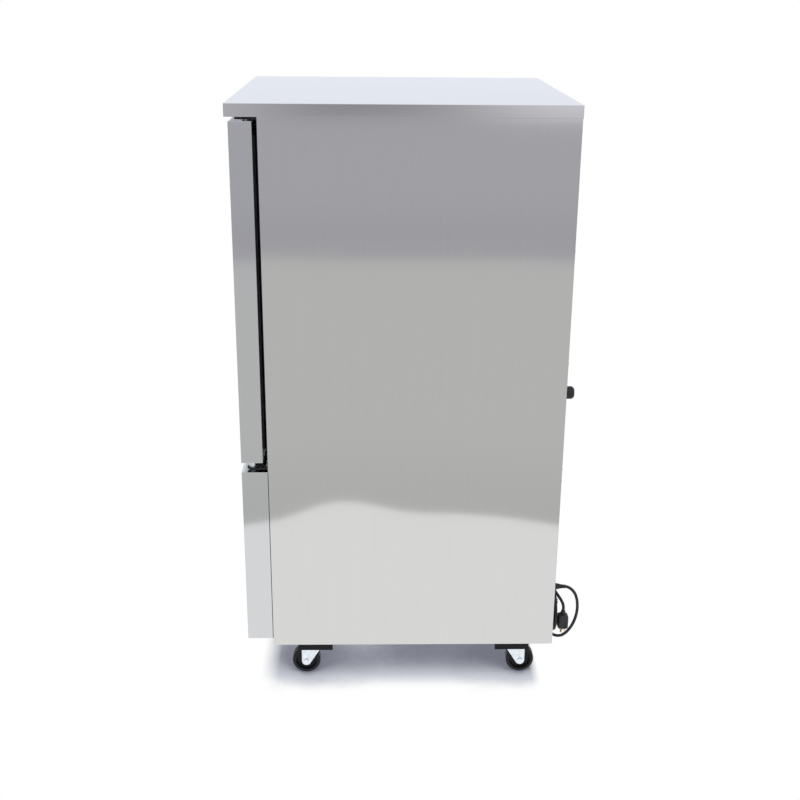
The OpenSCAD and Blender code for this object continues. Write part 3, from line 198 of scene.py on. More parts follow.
def settle(piece):
    """Puts a piece's place into its mesh, so that its object sits at the origin."""
    select(piece)
    bpy.ops.object.transform_apply(location=True, rotation=True, scale=True)


def edit(piece, mode="FACE"):
    """Starts edit mode with nothing selected."""
    select(piece)
    bpy.ops.object.mode_set(mode="EDIT")
    bpy.ops.mesh.select_mode(type=mode)
    bpy.ops.mesh.select_all(action="DESELECT")


def pick_faces(piece, test):
    """Selects the faces whose centre and normal pass the test."""
    mesh = bmesh.from_edit_mesh(piece.data)
    for face in mesh.faces:
        face.select_set(test(face.calc_center_median(), face.normal))
    mesh.select_flush_mode()
    bmesh.update_edit_mesh(piece.data)


def pick_edges(piece, test):
    """Selects the edges whose two ends pass the test."""
    mesh = bmesh.from_edit_mesh(piece.data)
    for edge in mesh.edges:
        edge.select_set(test(edge.verts[0].co, edge.verts[1].co))
    mesh.select_flush_mode()
    bmesh.update_edit_mesh(piece.data)


def leave_edit():
    """Ends edit mode."""
    bpy.ops.object.mode_set(mode="OBJECT")


def apply_all(piece):
    """Applies a piece's modifiers in order."""
    select(piece)
    for name in [m.name for m in piece.modifiers]:
        bpy.ops.object.modifier_apply(modifier=name)


def round_edges(piece, width, segments=2, angle=35):
    """A bevel on the sharp edges, applied."""
    bevel = piece.modifiers.new("edges", "BEVEL")
    bevel.width = width
    bevel.segments = segments
    bevel.limit_method = "ANGLE"
    bevel.angle_limit = math.radians(angle)
    apply_all(piece)


def smooth(piece, angle):
    """Smooth shading, with the edges sharper than the angle, in degrees, kept."""
    select(piece)
    bpy.ops.object.shade_smooth_by_angle(angle=math.radians(angle))


def add_block(name, low, high):
    """A block between two corners, in metres."""
    low, high = Vector(low), Vector(high)
    deselect()
    bpy.ops.mesh.primitive_cube_add(size=1, location=(low + high) / 2)
    piece = named(name)
    piece.scale = high - low
    settle(piece)
    return piece


def add_rod(name, start, end, radius, sides):
    """A straight rod between two points."""
    start, end = Vector(start), Vector(end)
    deselect()
    bpy.ops.mesh.primitive_cylinder_add(vertices=sides, radius=radius, depth=(end - start).length,
                                        location=(start + end) / 2)
    piece = named(name)
    piece.rotation_mode = "QUATERNION"
    piece.rotation_quaternion = (end - start).to_track_quat("Z", "Y")
    settle(piece)
    return piece


def copy_to(piece, matrix):
    """A copy with its own mesh, moved by the matrix."""
    other = piece.copy()
    other.data = piece.data.copy()
    bpy.context.collection.objects.link(other)
    other.data.transform(matrix)
    return other


def join(name, pieces):
    """Joins pieces into one of that name."""
    select(*pieces)
    if len(pieces) > 1:
        bpy.ops.object.join()
    return named(name)


def spun(name, outline, place, direction, steps=32):
    """A turned piece: the outline holds (distance along the axis, radius) pairs, axis end to axis end."""
    mesh = bpy.data.meshes.new(name)
    mesh.from_pydata([(r, 0, z) for z, r in outline], [(i, i + 1) for i in range(len(outline) - 1)], [])
    piece = bpy.data.objects.new(name, mesh)
    bpy.context.collection.objects.link(piece)
    edit(piece, "VERT")
    bpy.ops.mesh.select_all(action="SELECT")
    bpy.ops.mesh.spin(steps=steps, angle=math.tau, center=(0, 0, 0), axis=(0, 0, 1))
    bpy.ops.mesh.select_all(action="SELECT")
    bpy.ops.mesh.remove_doubles(threshold=1e-6)
    bpy.ops.mesh.normals_make_consistent(inside=False)
    leave_edit()
    piece.rotation_mode = "QUATERNION"
    piece.rotation_quaternion = Vector(direction).to_track_quat("Z", "Y")
    piece.location = place
    settle(piece)
    return piece


def finish_piece(piece, body, material, replaces=()):
    """The material, the body and the nodes that a finished piece stands for."""
    piece.data.materials.clear()
    piece.data.materials.append(material)
    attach(piece, body)
    if replaces:
        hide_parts(*replaces)
    return piece


# ---- finishes ----


class Finish:
    """A material under construction: a Principled surface and the textures that lead into it."""

    def __init__(self, name, colour, metallic=0.0, roughness=0.5, specular=0.5):
        self.material = bpy.data.materials.new(name)
        self.material.use_nodes = True
        self.nodes = self.material.node_tree.nodes
        self.links = self.material.node_tree.links
        self.surface = self.nodes["Principled BSDF"]
        self.surface.inputs["Base Color"].default_value = (*colour, 1)
        self.surface.inputs["Metallic"].default_value = metallic
        self.surface.inputs["Roughness"].default_value = roughness
        self.surface.inputs["Specular IOR Level"].default_value = specular
        self.colour = colour
        self.place = self.nodes.new("ShaderNodeTexCoord").outputs["Object"]

    def scaled(self, scale, offset=(0, 0, 0)):
        """The place on the piece, stretched to that many cells a metre along each axis."""
        mapping = self.nodes.new("ShaderNodeMapping")
        mapping.inputs["Scale"].default_value = scale
        mapping.inputs["Location"].default_value = offset
        self.links.new(self.place, mapping.inputs["Vector"])
        return mapping.outputs["Vector"]

    def noise(self, scale, detail=2.0, offset=(0, 0, 0)):
        """Noise with that many cells a metre along each axis."""
        noise = self.nodes.new("ShaderNodeTexNoise")
        noise.inputs["Scale"].default_value = 1.0
        noise.inputs["Detail"].default_value = detail
        self.links.new(self.scaled(scale, offset), noise.inputs["Vector"])
        return noise.outputs["Fac"]

    def cells(self, scale):
        """Flat cells, each with a tone of its own."""
        cells = self.nodes.new("ShaderNodeTexVoronoi")
        cells.inputs["Scale"].default_value = 1.0
        self.links.new(self.scaled(scale), cells.inputs["Vector"])
        return cells.outputs["Color"]

    def ranged(self, value, low, high, start=0.3, end=0.7):
        """value, from low at start to high at end."""
        ranged = self.nodes.new("ShaderNodeMapRange")
        ranged.inputs["From Min"].default_value = start
        ranged.inputs["From Max"].default_value = end
        ranged.inputs["To Min"].default_value = low
        ranged.inputs["To Max"].default_value = high
        self.links.new(value, ranged.inputs["Value"])
        return ranged.outputs["Result"]

    def tones(self, value, spread, start=0.3, end=0.7):
        """The colour darkens and lightens by the spread as the value goes from start to end."""
        ramp = self.nodes.new("ShaderNodeValToRGB")
        low, high = ramp.color_ramp.elements
        low.position, high.position = start, end
        low.color = (*[c * (1 - spread) for c in self.colour], 1)
        high.color = (*[min(1, c * (1 + spread)) for c in self.colour], 1)
        self.links.new(value, ramp.inputs["Fac"])
        self.links.new(ramp.outputs["Color"], self.surface.inputs["Base Color"])
        return self

    def rough(self, value, low, high):
        self.links.new(self.ranged(value, low, high), self.surface.inputs["Roughness"])
        return self

    def bump(self, value, depth):
        """Raises the surface by the value times the depth, in metres."""
        bump = self.nodes.new("ShaderNodeBump")
        bump.inputs["Distance"].default_value = depth
        bump.inputs["Strength"].default_value = 1.0
        self.links.new(value, bump.inputs["Height"])
        socket = self.surface.inputs["Normal"]
        if socket.is_linked:
            self.links.new(socket.links[0].from_socket, bump.inputs["Normal"])
        self.links.new(bump.outputs["Normal"], socket)
        return self


# cells of the brushed grain in a metre along it, and how far its tone departs from the colour
GRAIN_ALONG, GRAIN_SPREAD = 3.0, 0.014


def brushed(name, grain_axis, colour=None, roughness=None, wave=True, offset=(0, 0, 0)):
    """Brushed stainless steel whose grain runs along one axis, on a slightly wavy sheet."""
    steel = bpy.context.scene.chiller_steel
    colour = colour or tuple(steel.colour)
    roughness = roughness or steel.roughness
    finish = Finish(name, colour, metallic=1.0, roughness=roughness)
    scale = [1 / steel.grain_width] * 3
    scale["xyz".index(grain_axis)] = GRAIN_ALONG
    grain = finish.noise(scale, detail=1.5)
    finish.tones(grain, GRAIN_SPREAD)
    finish.rough(grain, roughness * 0.92, roughness * 1.12)
    if wave:
        waves = finish.noise([1 / steel.wave_width] * 3, detail=0.0, offset=offset)
        finish.bump(waves, steel.wave_depth)
    finish.bump(grain, steel.grain_depth)
    return finish.material


def plain_plastic(name, colour, roughness=0.45, grain=900, depth=0.00003, spread=0.06):
    """Moulded plastic with a fine spark-eroded grain."""
    finish = Finish(name, colour, roughness=roughness)
    finish.tones(finish.noise([40] * 3, detail=3), spread)
    finish.rough(finish.noise([90] * 3), roughness * 0.85, min(1, roughness * 1.15))
    finish.bump(finish.noise([grain] * 3, detail=1), depth)
    return finish.material


def powder_coat(name, colour, roughness=0.5, specular=0.5):
    """Powder coat with its fine orange peel."""
    finish = Finish(name, colour, roughness=roughness, specular=specular)
    finish.tones(finish.noise([25] * 3, detail=3), 0.08)
    finish.bump(finish.noise([420] * 3, detail=2), 0.00008)
    return finish.material


def zinc_plate(name, colour, roughness=0.32):
    """Bright zinc plate, slightly clouded."""
    finish = Finish(name, colour, metallic=1.0, roughness=roughness)
    finish.tones(finish.noise([120] * 3, detail=4), 0.10)
    finish.rough(finish.noise([60] * 3, detail=2), roughness * 0.8, roughness * 1.25)
    finish.bump(finish.noise([500] * 3, detail=1), 0.00002)
    return finish.material


def galvanised_sheet(name, colour):
    """Galvanised sheet with its spangle."""
    finish = Finish(name, colour, metallic=1.0, roughness=0.42)
    spangle = finish.cells([70] * 3)
    finish.tones(spangle, 0.18, 0.2, 0.8)
    finish.rough(spangle, 0.34, 0.5)
    return finish.material


def black_rubber(name, colour, roughness=0.62, specular=0.35):
    """Rubber with dust in its pores and a slight scuff."""
    finish = Finish(name, colour, roughness=roughness, specular=specular)
    finish.tones(finish.noise([55] * 3, detail=4), 0.25)
    finish.rough(finish.noise([130] * 3, detail=2), roughness * 0.85, roughness * 1.1)
    finish.bump(finish.noise([800] * 3, detail=2), 0.00005)
    return finish.material


def cast_foam(name, colour):
    """Foamed insulation with its small cells."""
    finish = Finish(name, colour, roughness=0.85, specular=0.2)
    finish.tones(finish.noise([60] * 3, detail=5), 0.18)
    finish.bump(finish.noise([500] * 3, detail=3), 0.0003)
    return finish.material


def copper_tube(name, colour):
    """Drawn copper, tarnished in places."""
    finish = Finish(name, colour, metallic=1.0, roughness=0.28)
    finish.tones(finish.noise([45] * 3, detail=5), 0.28)
    finish.rough(finish.noise([70] * 3, detail=3), 0.2, 0.42)
    return finish.material


def dark_glass(name, colour):
    """The display's tinted window."""
    finish = Finish(name, colour, roughness=0.06, specular=0.6)
    finish.tones(finish.noise([300] * 3, detail=1), 0.04)
    finish.surface.inputs["Coat Weight"].default_value = 0.6
    finish.surface.inputs["Coat Roughness"].default_value = 0.03
    return finish.material


def make_finishes():
    """Every finish by its name."""
    lead = bpy.context.scene.chiller_lead
    castors = bpy.context.scene.chiller_castors
    return {
        "side_steel": brushed("side steel", "z", offset=(0.35, 0.15, 0.2)),
        "door_steel": brushed("door steel", "z", colour=(0.65, 0.66, 0.67), offset=(3.1, 0.4, 1.2)),
        "top_steel": brushed("worktop steel", "y", offset=(5.2, 1.1, 0.7)),
        "rear_steel": brushed("rear steel", "z", roughness=0.16, offset=(7.7, 2.3, 0.1)),
        "inner_steel": brushed("inner steel", "z", roughness=0.22, wave=False),
        "rack_steel": brushed("rack steel", "y", roughness=0.2, wave=False),
        "foam": cast_foam("foam", (0.75, 0.62, 0.36)),
        "frame_plastic": plain_plastic("frame plastic", (0.55, 0.56, 0.57)),
        "galvanised": galvanised_sheet("galvanised sheet", (0.62, 0.64, 0.66)),
        "black_steel": powder_coat("black steel", (0.025, 0.026, 0.029)),
        "castor_black": powder_coat("castor black", (0.006, 0.0065, 0.008), 0.55, 0.2),
        # near-black hinge finish: partly the brackets' own dark coat, partly painted shade of the gap
        # under the door
        "hinge_black_and_shade": powder_coat("hinge black and shade", (0.012, 0.012, 0.014), 0.45, 0.3),
        "zinc": zinc_plate("zinc plate", tuple(castors.zinc)),
        "fin_aluminium": zinc_plate("fin aluminium", (0.78, 0.79, 0.80), 0.38),
        "control_plastic": plain_plastic("control plastic", (0.035, 0.036, 0.040), 0.4),
        "display": dark_glass("display window", (0.012, 0.012, 0.016)),
        "segments": plain_plastic("display segments", (0.050, 0.048, 0.046), 0.3),
        "key_plastic": plain_plastic("key plastic", (0.52, 0.53, 0.54), 0.4),
        "key_marks": plain_plastic("key marks", (0.06, 0.07, 0.09), 0.5),
        "rubber": black_rubber("rubber", (0.020, 0.020, 0.022)),
        "gasket_rubber": black_rubber("gasket rubber", (0.045, 0.044, 0.050), 0.5),
        "wheel_rubber": black_rubber("wheel rubber", tuple(castors.tread), 0.55, 0.25),
        "motor_grey": powder_coat("motor grey", (0.13, 0.135, 0.14), 0.45),
        "fan_plastic": plain_plastic("fan plastic", (0.03, 0.03, 0.033), 0.42),
        "wire_chrome": zinc_plate("wire chrome", (0.78, 0.78, 0.79), 0.14),
        "copper": copper_tube("copper", (0.70, 0.36, 0.22)),
        "grey_plastic": plain_plastic("grey plastic", (0.20, 0.205, 0.21)),
        "bush_plastic": plain_plastic("bush plastic", (0.72, 0.70, 0.64)),
        "cord_black": black_rubber("lead sheath", tuple(lead.colour), 0.48),
        "plug_black": plain_plastic("plug moulding", (0.022, 0.022, 0.024), 0.5),
        "pin_brass": zinc_plate("plug pins", (0.74, 0.66, 0.46), 0.25),
        "screw_steel": zinc_plate("screw heads", (0.70, 0.71, 0.72), 0.24),
        "tie_black": plain_plastic("tie", (0.028, 0.028, 0.030), 0.4),
    }


FINISHES = {}

# which finish each node of the frame takes
NODE_FINISHES = {
    "side_steel": ["right_side_panel", "left_side_panel"],
    "door_steel": ["door_skin", "lower_front_panel"],
    "top_steel": ["worktop"],
    "rear_steel": ["rear_panel", "rear_grille"],
    "inner_steel": ["cavity_liner", "door_liner", "fan_panel", "drip_trays"],
    "rack_steel": ["left_tray_rack", "right_tray_rack"],
    "foam": ["insulation_foam", "door_foam"],
    "frame_plastic": ["door_frame_trim"],
    "galvanised": ["base_frame", "condenser_shroud", "electrical_box"],
    "black_steel": ["compressor", "liquid_receiver"],
    "castor_black": ["castor_brackets"],
    "hinge_black_and_shade": ["hinge_brackets"],
    "zinc": ["castor_plates", "hinge_pins", "cord_hook", "fork_front_right",
             "fork_front_left", "fork_rear_right", "fork_rear_left"],
    "fin_aluminium": ["condenser_coil", "evaporator_coil"],
    "control_plastic": ["control_panel"],
    "display": ["display_window"],
    "key_plastic": ["key_1", "key_2", "key_3", "key_4"],
    "rubber": ["compressor_mounts", "rear_spacers", "cord_gland"],
    "gasket_rubber": ["door_gasket"],
    "wheel_rubber": ["wheel_front_right", "wheel_front_left", "wheel_rear_right", "wheel_rear_left"],
    "motor_grey": ["fan_motors"],
    "fan_plastic": ["condenser_fan_blade", "upper_fan_blade", "lower_fan_blade"],
    "wire_chrome": ["fan_guards"],
    "copper": ["refrigerant_pipes"],
    "grey_plastic": ["drain_fitting", "door_grip"],
    "bush_plastic": ["door_bushes"],
    "screw_steel": ["panel_screws"],
    "cord_black": ["power_cord", "cord_coil"],
    "plug_black": ["cord_plug"],
}


class ChillerFinishes(bpy.types.Operator):
    """Gives every node of the frame its finish"""

    bl_idname = "chiller.finishes"
    bl_label = "Finishes"

    def execute(self, context):
        FINISHES.update(make_finishes())
        for finish, nodes in NODE_FINISHES.items():
            for node in nodes:
                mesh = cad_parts[node].data
                mesh.materials.clear()
                mesh.materials.append(FINISHES[finish])
        return {"FINISHED"}


class ChillerFoldedEdges(bpy.types.Operator):
    """Rounds the folded edges of the sheet metal"""

    bl_idname = "chiller.folded_edges"
    bl_label = "Folded edges"

    SHEETS = ["worktop", "right_side_panel", "left_side_panel", "rear_panel", "rear_grille",
              "door_skin", "lower_front_panel", "control_panel", "castor_brackets",
              "hinge_brackets", "door_frame_trim", "door_grip", "fork_front_right",
              "fork_front_left", "fork_rear_right", "fork_rear_left"]

    def execute(self, context):
        radius = context.scene.chiller_steel.edge
        for node in self.SHEETS:
            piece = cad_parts[node]
            weld = piece.modifiers.new("weld", "WELD")
            weld.merge_threshold = 1e-5
            bevel = piece.modifiers.new("edges", "BEVEL")
            bevel.width = radius * (0.5 if node.startswith("fork") else 1)
            bevel.segments = 2
            bevel.limit_method = "ANGLE"
            bevel.angle_limit = math.radians(50)
            bevel.use_clamp_overlap = True
        return {"FINISHED"}


# ---- mains lead ----

# the lead from its gland down to the coil, and from the coil to the plug, in millimetres
LEAD_POINTS = [(352, 418, 250), (352, 430, 249.3), (352.5, 441.3, 244.8), (354, 451, 236.5),
               (355, 458, 225), (357, 462.3, 210), (359, 463.8, 194), (361, 463, 178),
               (363, 459.5, 161), (365, 453.5, 145), (366, 446, 131), (364, 436.5, 117),
               (359, 426, 105.5), (349, 415.5, 98), (337, 406.5, 94.6), (323, 401.2, 94.1),
               (313, 400.5, 94.1), (308, 400.5, 94.1)]
TAIL_POINTS = [(308, 409.1, 215.9), (312, 409.1, 215.9), (318, 410.5, 214.5), (324.5, 413.8, 211.5),
               (331.3, 418.6, 206.2), (336.6, 423.7, 199.4), (339.9, 427.7, 191.4), (341, 430, 182.5),
               (341, 430, 171)]
COIL_CENTRE = Vector((300, 400.5, 155)) * MM
COIL_STEPS = 24


def coil_points():
    """The coil spirals in on the wall's side, climbs a layer and spirals out again."""
    lead = bpy.context.scene.chiller_lead
    half = lead.coil_turns / 2
    points = []
    for i in range(int(lead.coil_turns * COIL_STEPS) + 1):
        t = i / COIL_STEPS
        radius = lead.coil_radius - lead.coil_pitch * (half - abs(t - half))
        layer = lead.coil_pitch * min(1, max(0, (t - half + 0.25) * 2))
        angle = math.radians(-90 - 360 * t)
        points.append(COIL_CENTRE + Vector((radius * math.cos(angle), layer,
                                            radius * math.sin(angle))))
    return points


def rounded_line(points, steps=4):
    """A smooth line through the points."""
    line = []
    ends = [2 * points[0] - points[1], *points, 2 * points[-1] - points[-2]]
    for a, b, c, d in zip(ends, ends[1:], ends[2:], ends[3:]):
        for k in range(steps):
            t = k / steps
            line.append(0.5 * (2 * b + (c - a) * t + (2 * a - 5 * b + 4 * c - d) * t ** 2
                               + (3 * b - a - 3 * c + d) * t ** 3))
    return [*line, points[-1]]


def lead_line():
    first = rounded_line([Vector(p) * MM for p in LEAD_POINTS])
    last = rounded_line([Vector(p) * MM for p in TAIL_POINTS])
    return [*first, *coil_points(), *last]


class ChillerLead(bpy.types.Operator):
    """The mains lead with its strain relief, its tie and its plug"""

    bl_idname = "chiller.mains_lead"
    bl_label = "Mains lead"

    def execute(self, context):
        settings = context.scene.chiller_lead
        line = lead_line()
        curve = bpy.data.curves.new("mains_lead", "CURVE")
        curve.dimensions = "3D"
        curve.bevel_depth = settings.diameter / 2
        curve.bevel_resolution = 3
        curve.use_fill_caps = True
        spline = curve.splines.new("POLY")
        spline.points.add(len(line) - 1)
        for point, place in zip(spline.points, line):
            point.co = (*place, 1)
        spline.use_smooth = True
        lead = bpy.data.objects.new("mains_lead", curve)
        context.collection.objects.link(lead)
        finish_piece(lead, "cabinet", FINISHES["cord_black"],
                     ["power_cord", "cord_coil"])
        pieces = [self.plug(line), self.pins(line), self.relief(), self.tie()]
        return {"FINISHED"}

    def relief(self):
        """The ribbed, tapered sleeve over the lead where it leaves the gland."""
        length, ribs = 27 * MM, 6
        outline = [(0, 4.1 * MM), (0, 7.4 * MM)]
        for i in range(ribs):
            start, pitch = (3 + i * 3.7) * MM, 3.7 * MM
            radius = (7.4 - 0.36 * i) * MM
            outline += [(start, radius), (start + 0.25 * pitch, radius - 1.1 * MM),
                        (start + 0.7 * pitch, radius - 1.1 * MM),
                        (start + 0.95 * pitch, radius - 0.3 * MM)]
        outline += [(length - 0.5 * MM, 5.1 * MM), (length, 4.6 * MM), (length, 4.1 * MM)]
        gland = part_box("cord_gland")
        place = (LEAD_POINTS[0][0] * MM, gland[1][1] - 16 * MM, LEAD_POINTS[0][2] * MM)
        sleeve = spun("lead_relief", outline, place, (0, 1, -0.03), steps=24)
        smooth(sleeve, 30)
        return finish_piece(sleeve, "cabinet", FINISHES["rubber"])

    def tie(self):
        """A cable tie round the coil's turns, with its head on the outside."""
        settings = bpy.context.scene.chiller_lead
        inner = settings.coil_radius - settings.coil_pitch * settings.coil_turns / 2
        half = settings.diameter / 2 + 0.5 * MM
        low = (inner - half, COIL_CENTRE.y - half, -3.5 * MM)
        high = (settings.coil_radius + half, COIL_CENTRE.y + settings.coil_pitch + half, 3.5 * MM)
        band = add_block("band", low, high)
        edit(band, "EDGE")
        pick_edges(band, lambda a, b: abs(a.z - b.z) > MM)
        bpy.ops.mesh.bevel(offset=4.2 * MM, segments=5, affect="EDGES")
        bpy.ops.mesh.select_all(action="DESELECT")
        bpy.ops.mesh.select_mode(type="FACE")
        pick_faces(band, lambda centre, normal: abs(normal.z) > 0.9)
        bpy.ops.mesh.delete(type="FACE")
        leave_edit()
        wall = band.modifiers.new("wall", "SOLIDIFY")
        wall.thickness = 0.7 * MM
        wall.offset = -1
        apply_all(band)
        head = add_block("head", (high[0] - 4 * MM, high[1] - 0.2 * MM, -4.5 * MM),
                         (high[0] + MM, high[1] + 4.5 * MM, 4.5 * MM))
        tail = add_block("tail", (high[0] - 2.2 * MM, high[1] + 4 * MM, -3.3 * MM),
                         (high[0] - 1.3 * MM, high[1] + 17 * MM, 3.3 * MM))
        round_edges(head, 0.8 * MM)
        round_edges(tail, 0.3 * MM, 1)
        tie = join("lead_tie", [head, tail, band])
        angle = math.radians(205)
        place = Matrix.Translation((COIL_CENTRE.x, 0, COIL_CENTRE.z)) @ Matrix.Rotation(-angle, 4, "Y")
        tie.data.transform(place)
        smooth(tie, 30)
        return finish_piece(tie, "cabinet", FINISHES["tie_black"])

    def plug(self, line):
        """The moulded plug: a waisted body with grip ridges under a ribbed relief."""
        top = line[-1]
        width, thick, height, relief = 34 * MM, 28 * MM, 32 * MM, 16 * MM
        body = add_block("cord_plug_body", top + Vector((-width / 2, -thick / 2, -relief - height)),
                         top + Vector((width / 2, thick / 2, -relief)))
        edit(body, "EDGE")
        pick_edges(body, lambda a, b: abs(a.z - b.z) > 5 * MM)
        bpy.ops.mesh.bevel(offset=9 * MM, segments=6, affect="EDGES")
        bpy.ops.mesh.select_mode(type="FACE")
        bpy.ops.mesh.select_all(action="DESELECT")
        pick_faces(body, lambda centre, normal: normal.z > 0.9)
        bpy.ops.mesh.extrude_region_move(TRANSFORM_OT_translate={"value": (0, 0, 5 * MM)})
        bpy.ops.transform.resize(value=(0.66, 0.66, 1), center_override=top)
        leave_edit()
        round_edges(body, 1.2 * MM, 3)
        ridges = []
        for side in (-1, 1):
            for i in range(4):
                z = top.z - relief - 9 * MM - i * 4.4 * MM
                x = top.x + side * (width / 2 - 0.5 * MM)
                ridge = add_block("ridge", (min(x, x + side * MM), top.y - 6.5 * MM, z - 1.1 * MM),
                                  (max(x, x + side * MM), top.y + 6.5 * MM, z + 1.1 * MM))
                round_edges(ridge, 0.45 * MM)
                ridges.append(ridge)
        outline = [(-15 * MM, 0)]
        for i in range(4):
            z, radius = (-15 + i * 3.9) * MM, (8.2 - i * 0.75) * MM
            outline += [(z, radius), (z + 2.2 * MM, radius - 0.3 * MM), (z + 2.4 * MM, radius - 1.5 * MM),
                        (z + 3.7 * MM, radius - 1.6 * MM)]
        outline += [(-0.2 * MM, 4.6 * MM), (-0.2 * MM, 0)]
        neck = spun("neck", outline, top, (0, 0, 1), steps=24)
        plug = join("cord_plug_body", [neck, *ridges, body])
        smooth(plug, 32)
        return finish_piece(plug, "cabinet", FINISHES["plug_black"], ["cord_plug"])

    def pins(self, line):
        """Two flat blades and a round earth pin."""
        face = line[-1] + Vector((0, 0, -48 * MM))
        blades = [add_block("blade", face + Vector((s * 6.4 * MM - 0.8 * MM, -7 * MM, -16 * MM)),
                            face + Vector((s * 6.4 * MM + 0.8 * MM, -0.5 * MM, 0.5 * MM)))
                  for s in (-1, 1)]
        for blade in blades:
            round_edges(blade, 0.4 * MM)
        earth = spun("earth", [(0.5 * MM, 0), (0.5 * MM, 2.4 * MM), (-14.4 * MM, 2.4 * MM),
                               (-15.6 * MM, 1.7 * MM), (-16 * MM, 0)],
                     face + Vector((0, 6 * MM, 0)), (0, 0, 1), steps=20)
        pins = join("plug_pins", [*blades, earth])
        smooth(pins, 30)
        return finish_piece(pins, "cabinet", FINISHES["pin_brass"])


# ---- small parts ----


class ChillerScrews(bpy.types.Operator):
    """Domed screw heads with a cross recess"""

    bl_idname = "chiller.screws"
    bl_label = "Screws"

    def execute(self, context):
        radius, height = 4.5 * MM, 2.2 * MM
        dome = [(0, 0), (0, radius), (0.5 * MM, radius)]
        dome += [(0.5 * MM + (height - 0.5 * MM) * math.sin(math.radians(a)),
                  radius * math.cos(math.radians(a)) ** 0.8) for a in (25, 45, 62, 76)]
        dome.append((height, 0))
        head = spun("screw_head", dome, (0, 0, 0), (0, 0, 1), steps=24)
        for turned in (0, 1):
            size = (0.55, 2.4) if turned else (2.4, 0.55)
            cut = add_block("recess", (-size[0] * MM, -size[1] * MM, 0.9 * MM),
                            (size[0] * MM, size[1] * MM, 4 * MM))
            recess = head.modifiers.new("recess", "BOOLEAN")
            recess.operation = "DIFFERENCE"
            recess.object = cut
            apply_all(head)
            bpy.data.objects.remove(cut)
        heads = [copy_to(head, matrix) for matrix in self.places()]
        bpy.data.objects.remove(head)
        screws = join("panel_screw_heads", heads)
        smooth(screws, 30)
        finish_piece(screws, "cabinet", FINISHES["screw_steel"], ["panel_screws"])
        return {"FINISHED"}

    def places(self):
        """Where each screw sits, turned a little differently each time."""
        rear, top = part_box("rear_panel"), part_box("worktop")[0].z
        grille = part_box("rear_grille")
        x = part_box("right_side_panel")[1].x - 11 * MM
        low, high = rear[0].z + 17 * MM, top - 30 * MM
        third = (high - low) / 3
        heights = [low, low + third, high - third, high,
                   grille[0].z + 19 * MM, (grille[0].z - MM + grille[1].z) / 2,
                   grille[1].z - 16 * MM]
        spots = [((s * x, rear[1].y, z), (0, 1, 0)) for s in (-1, 1) for z in heights]
        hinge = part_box("hinge_brackets")
        for z in (hinge[0].z + 9 * MM, hinge[1].z - 9 * MM):
            spots += [((hinge[1].x - dx, hinge[1].y - 3 * MM, z), (0, -1, 0))
                      for dx in (12 * MM, 36 * MM)]
        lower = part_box("lower_front_panel")
        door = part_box("door_skin")
        spots += [((s * (lower[1].x - 30 * MM), (door[0].y + door[1].y) / 2, lower[0].z), (0, 0, -1))
                  for s in (-1, 1)]
        matrices = []
        for i, (place, direction) in enumerate(spots):
            turn = Vector(direction).to_track_quat("Z", "Y").to_matrix().to_4x4()
            matrices.append(Matrix.Translation(place) @ turn @ Matrix.Rotation(i * 0.7, 4, "Z"))
        return matrices


class ChillerJointShadeStrips(bpy.types.Operator):
    """Dark strips in the joints between the lower front panel and the side panels: painted shade standing
    in for the gaps between them
    """

    bl_idname = "chiller.panel_seals"
    bl_label = "Joint shade strips"

    def execute(self, context):
        low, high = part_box("lower_front_panel")
        width, proud = 1.8 * MM, 0.4 * MM
        shade_strips = []
        for side in (-1, 1):
            x = side * high.x
            shade_strip = add_block("shade_strip", (x - proud, high.y - width / 2, low.z + MM),
                             (x + proud, high.y + width / 2, high.z - MM))
            round_edges(shade_strip, 0.3 * MM)
            shade_strips.append(shade_strip)
        # the strips take the rubber finish, but they are painted shade for the gaps, not real seals
        seals = join("panel_seals", shade_strips)
        smooth(seals, 40)
        finish_piece(seals, "cabinet", FINISHES["rubber"])
        return {"FINISHED"}


class ChillerFanGuards(bpy.types.Operator):
    """Round wire guards in front of the evaporator fans"""

    bl_idname = "chiller.fan_guards"
    bl_label = "Fan guards"

    def execute(self, context):
        low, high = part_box("fan_guards")
        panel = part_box("fan_panel")[0].y + 10 * MM
        middle = (low.z + high.z) / 2
        wire, inner = 1.3 * MM, 21.3 * MM
        rings, spokes = 6, 8
        outer = (high.x - low.x) / 2 - wire
        spacing = (high.z - low.z) / 2 - outer - wire
        face = low.y + wire
        pieces = []
        for side in (-1, 1):
            centre = Vector((0, face, middle + side * spacing))
            for i in range(rings):
                deselect()
                bpy.ops.mesh.primitive_torus_add(
                    major_radius=inner + (outer - inner) * i / (rings - 1), minor_radius=wire,
                    major_segments=64, minor_segments=8, location=centre,
                    rotation=(math.pi / 2, 0, 0))
                ring = named("ring")
                settle(ring)
                pieces.append(ring)
            for k in range(spokes):
                turn = k * math.tau / spokes
                out = Vector((math.cos(turn), 0, math.sin(turn)))
                back = Vector((0, 1.6 * MM, 0))
                pieces.append(add_rod("spoke", centre + out * inner + back,
                                      centre + out * outer + back, wire, 10))
                if k % 2:
                    foot = centre + out * (outer + wire / 2)
                    pieces.append(add_rod("foot", foot, foot + Vector((0, panel - face - 11 * MM, 0)),
                                          2.4 * MM, 12))
            deselect()
            bpy.ops.mesh.primitive_cylinder_add(vertices=32, radius=inner, depth=1.2 * MM,
                                                location=centre, rotation=(math.pi / 2, 0, 0))
            disc = named("disc")
            settle(disc)
            round_edges(disc, 0.4 * MM)
            pieces.append(disc)
        guards = join("fan_guard_wires", pieces)
        smooth(guards, 40)
        finish_piece(guards, "cabinet", FINISHES["wire_chrome"], ["fan_guards"])
        return {"FINISHED"}


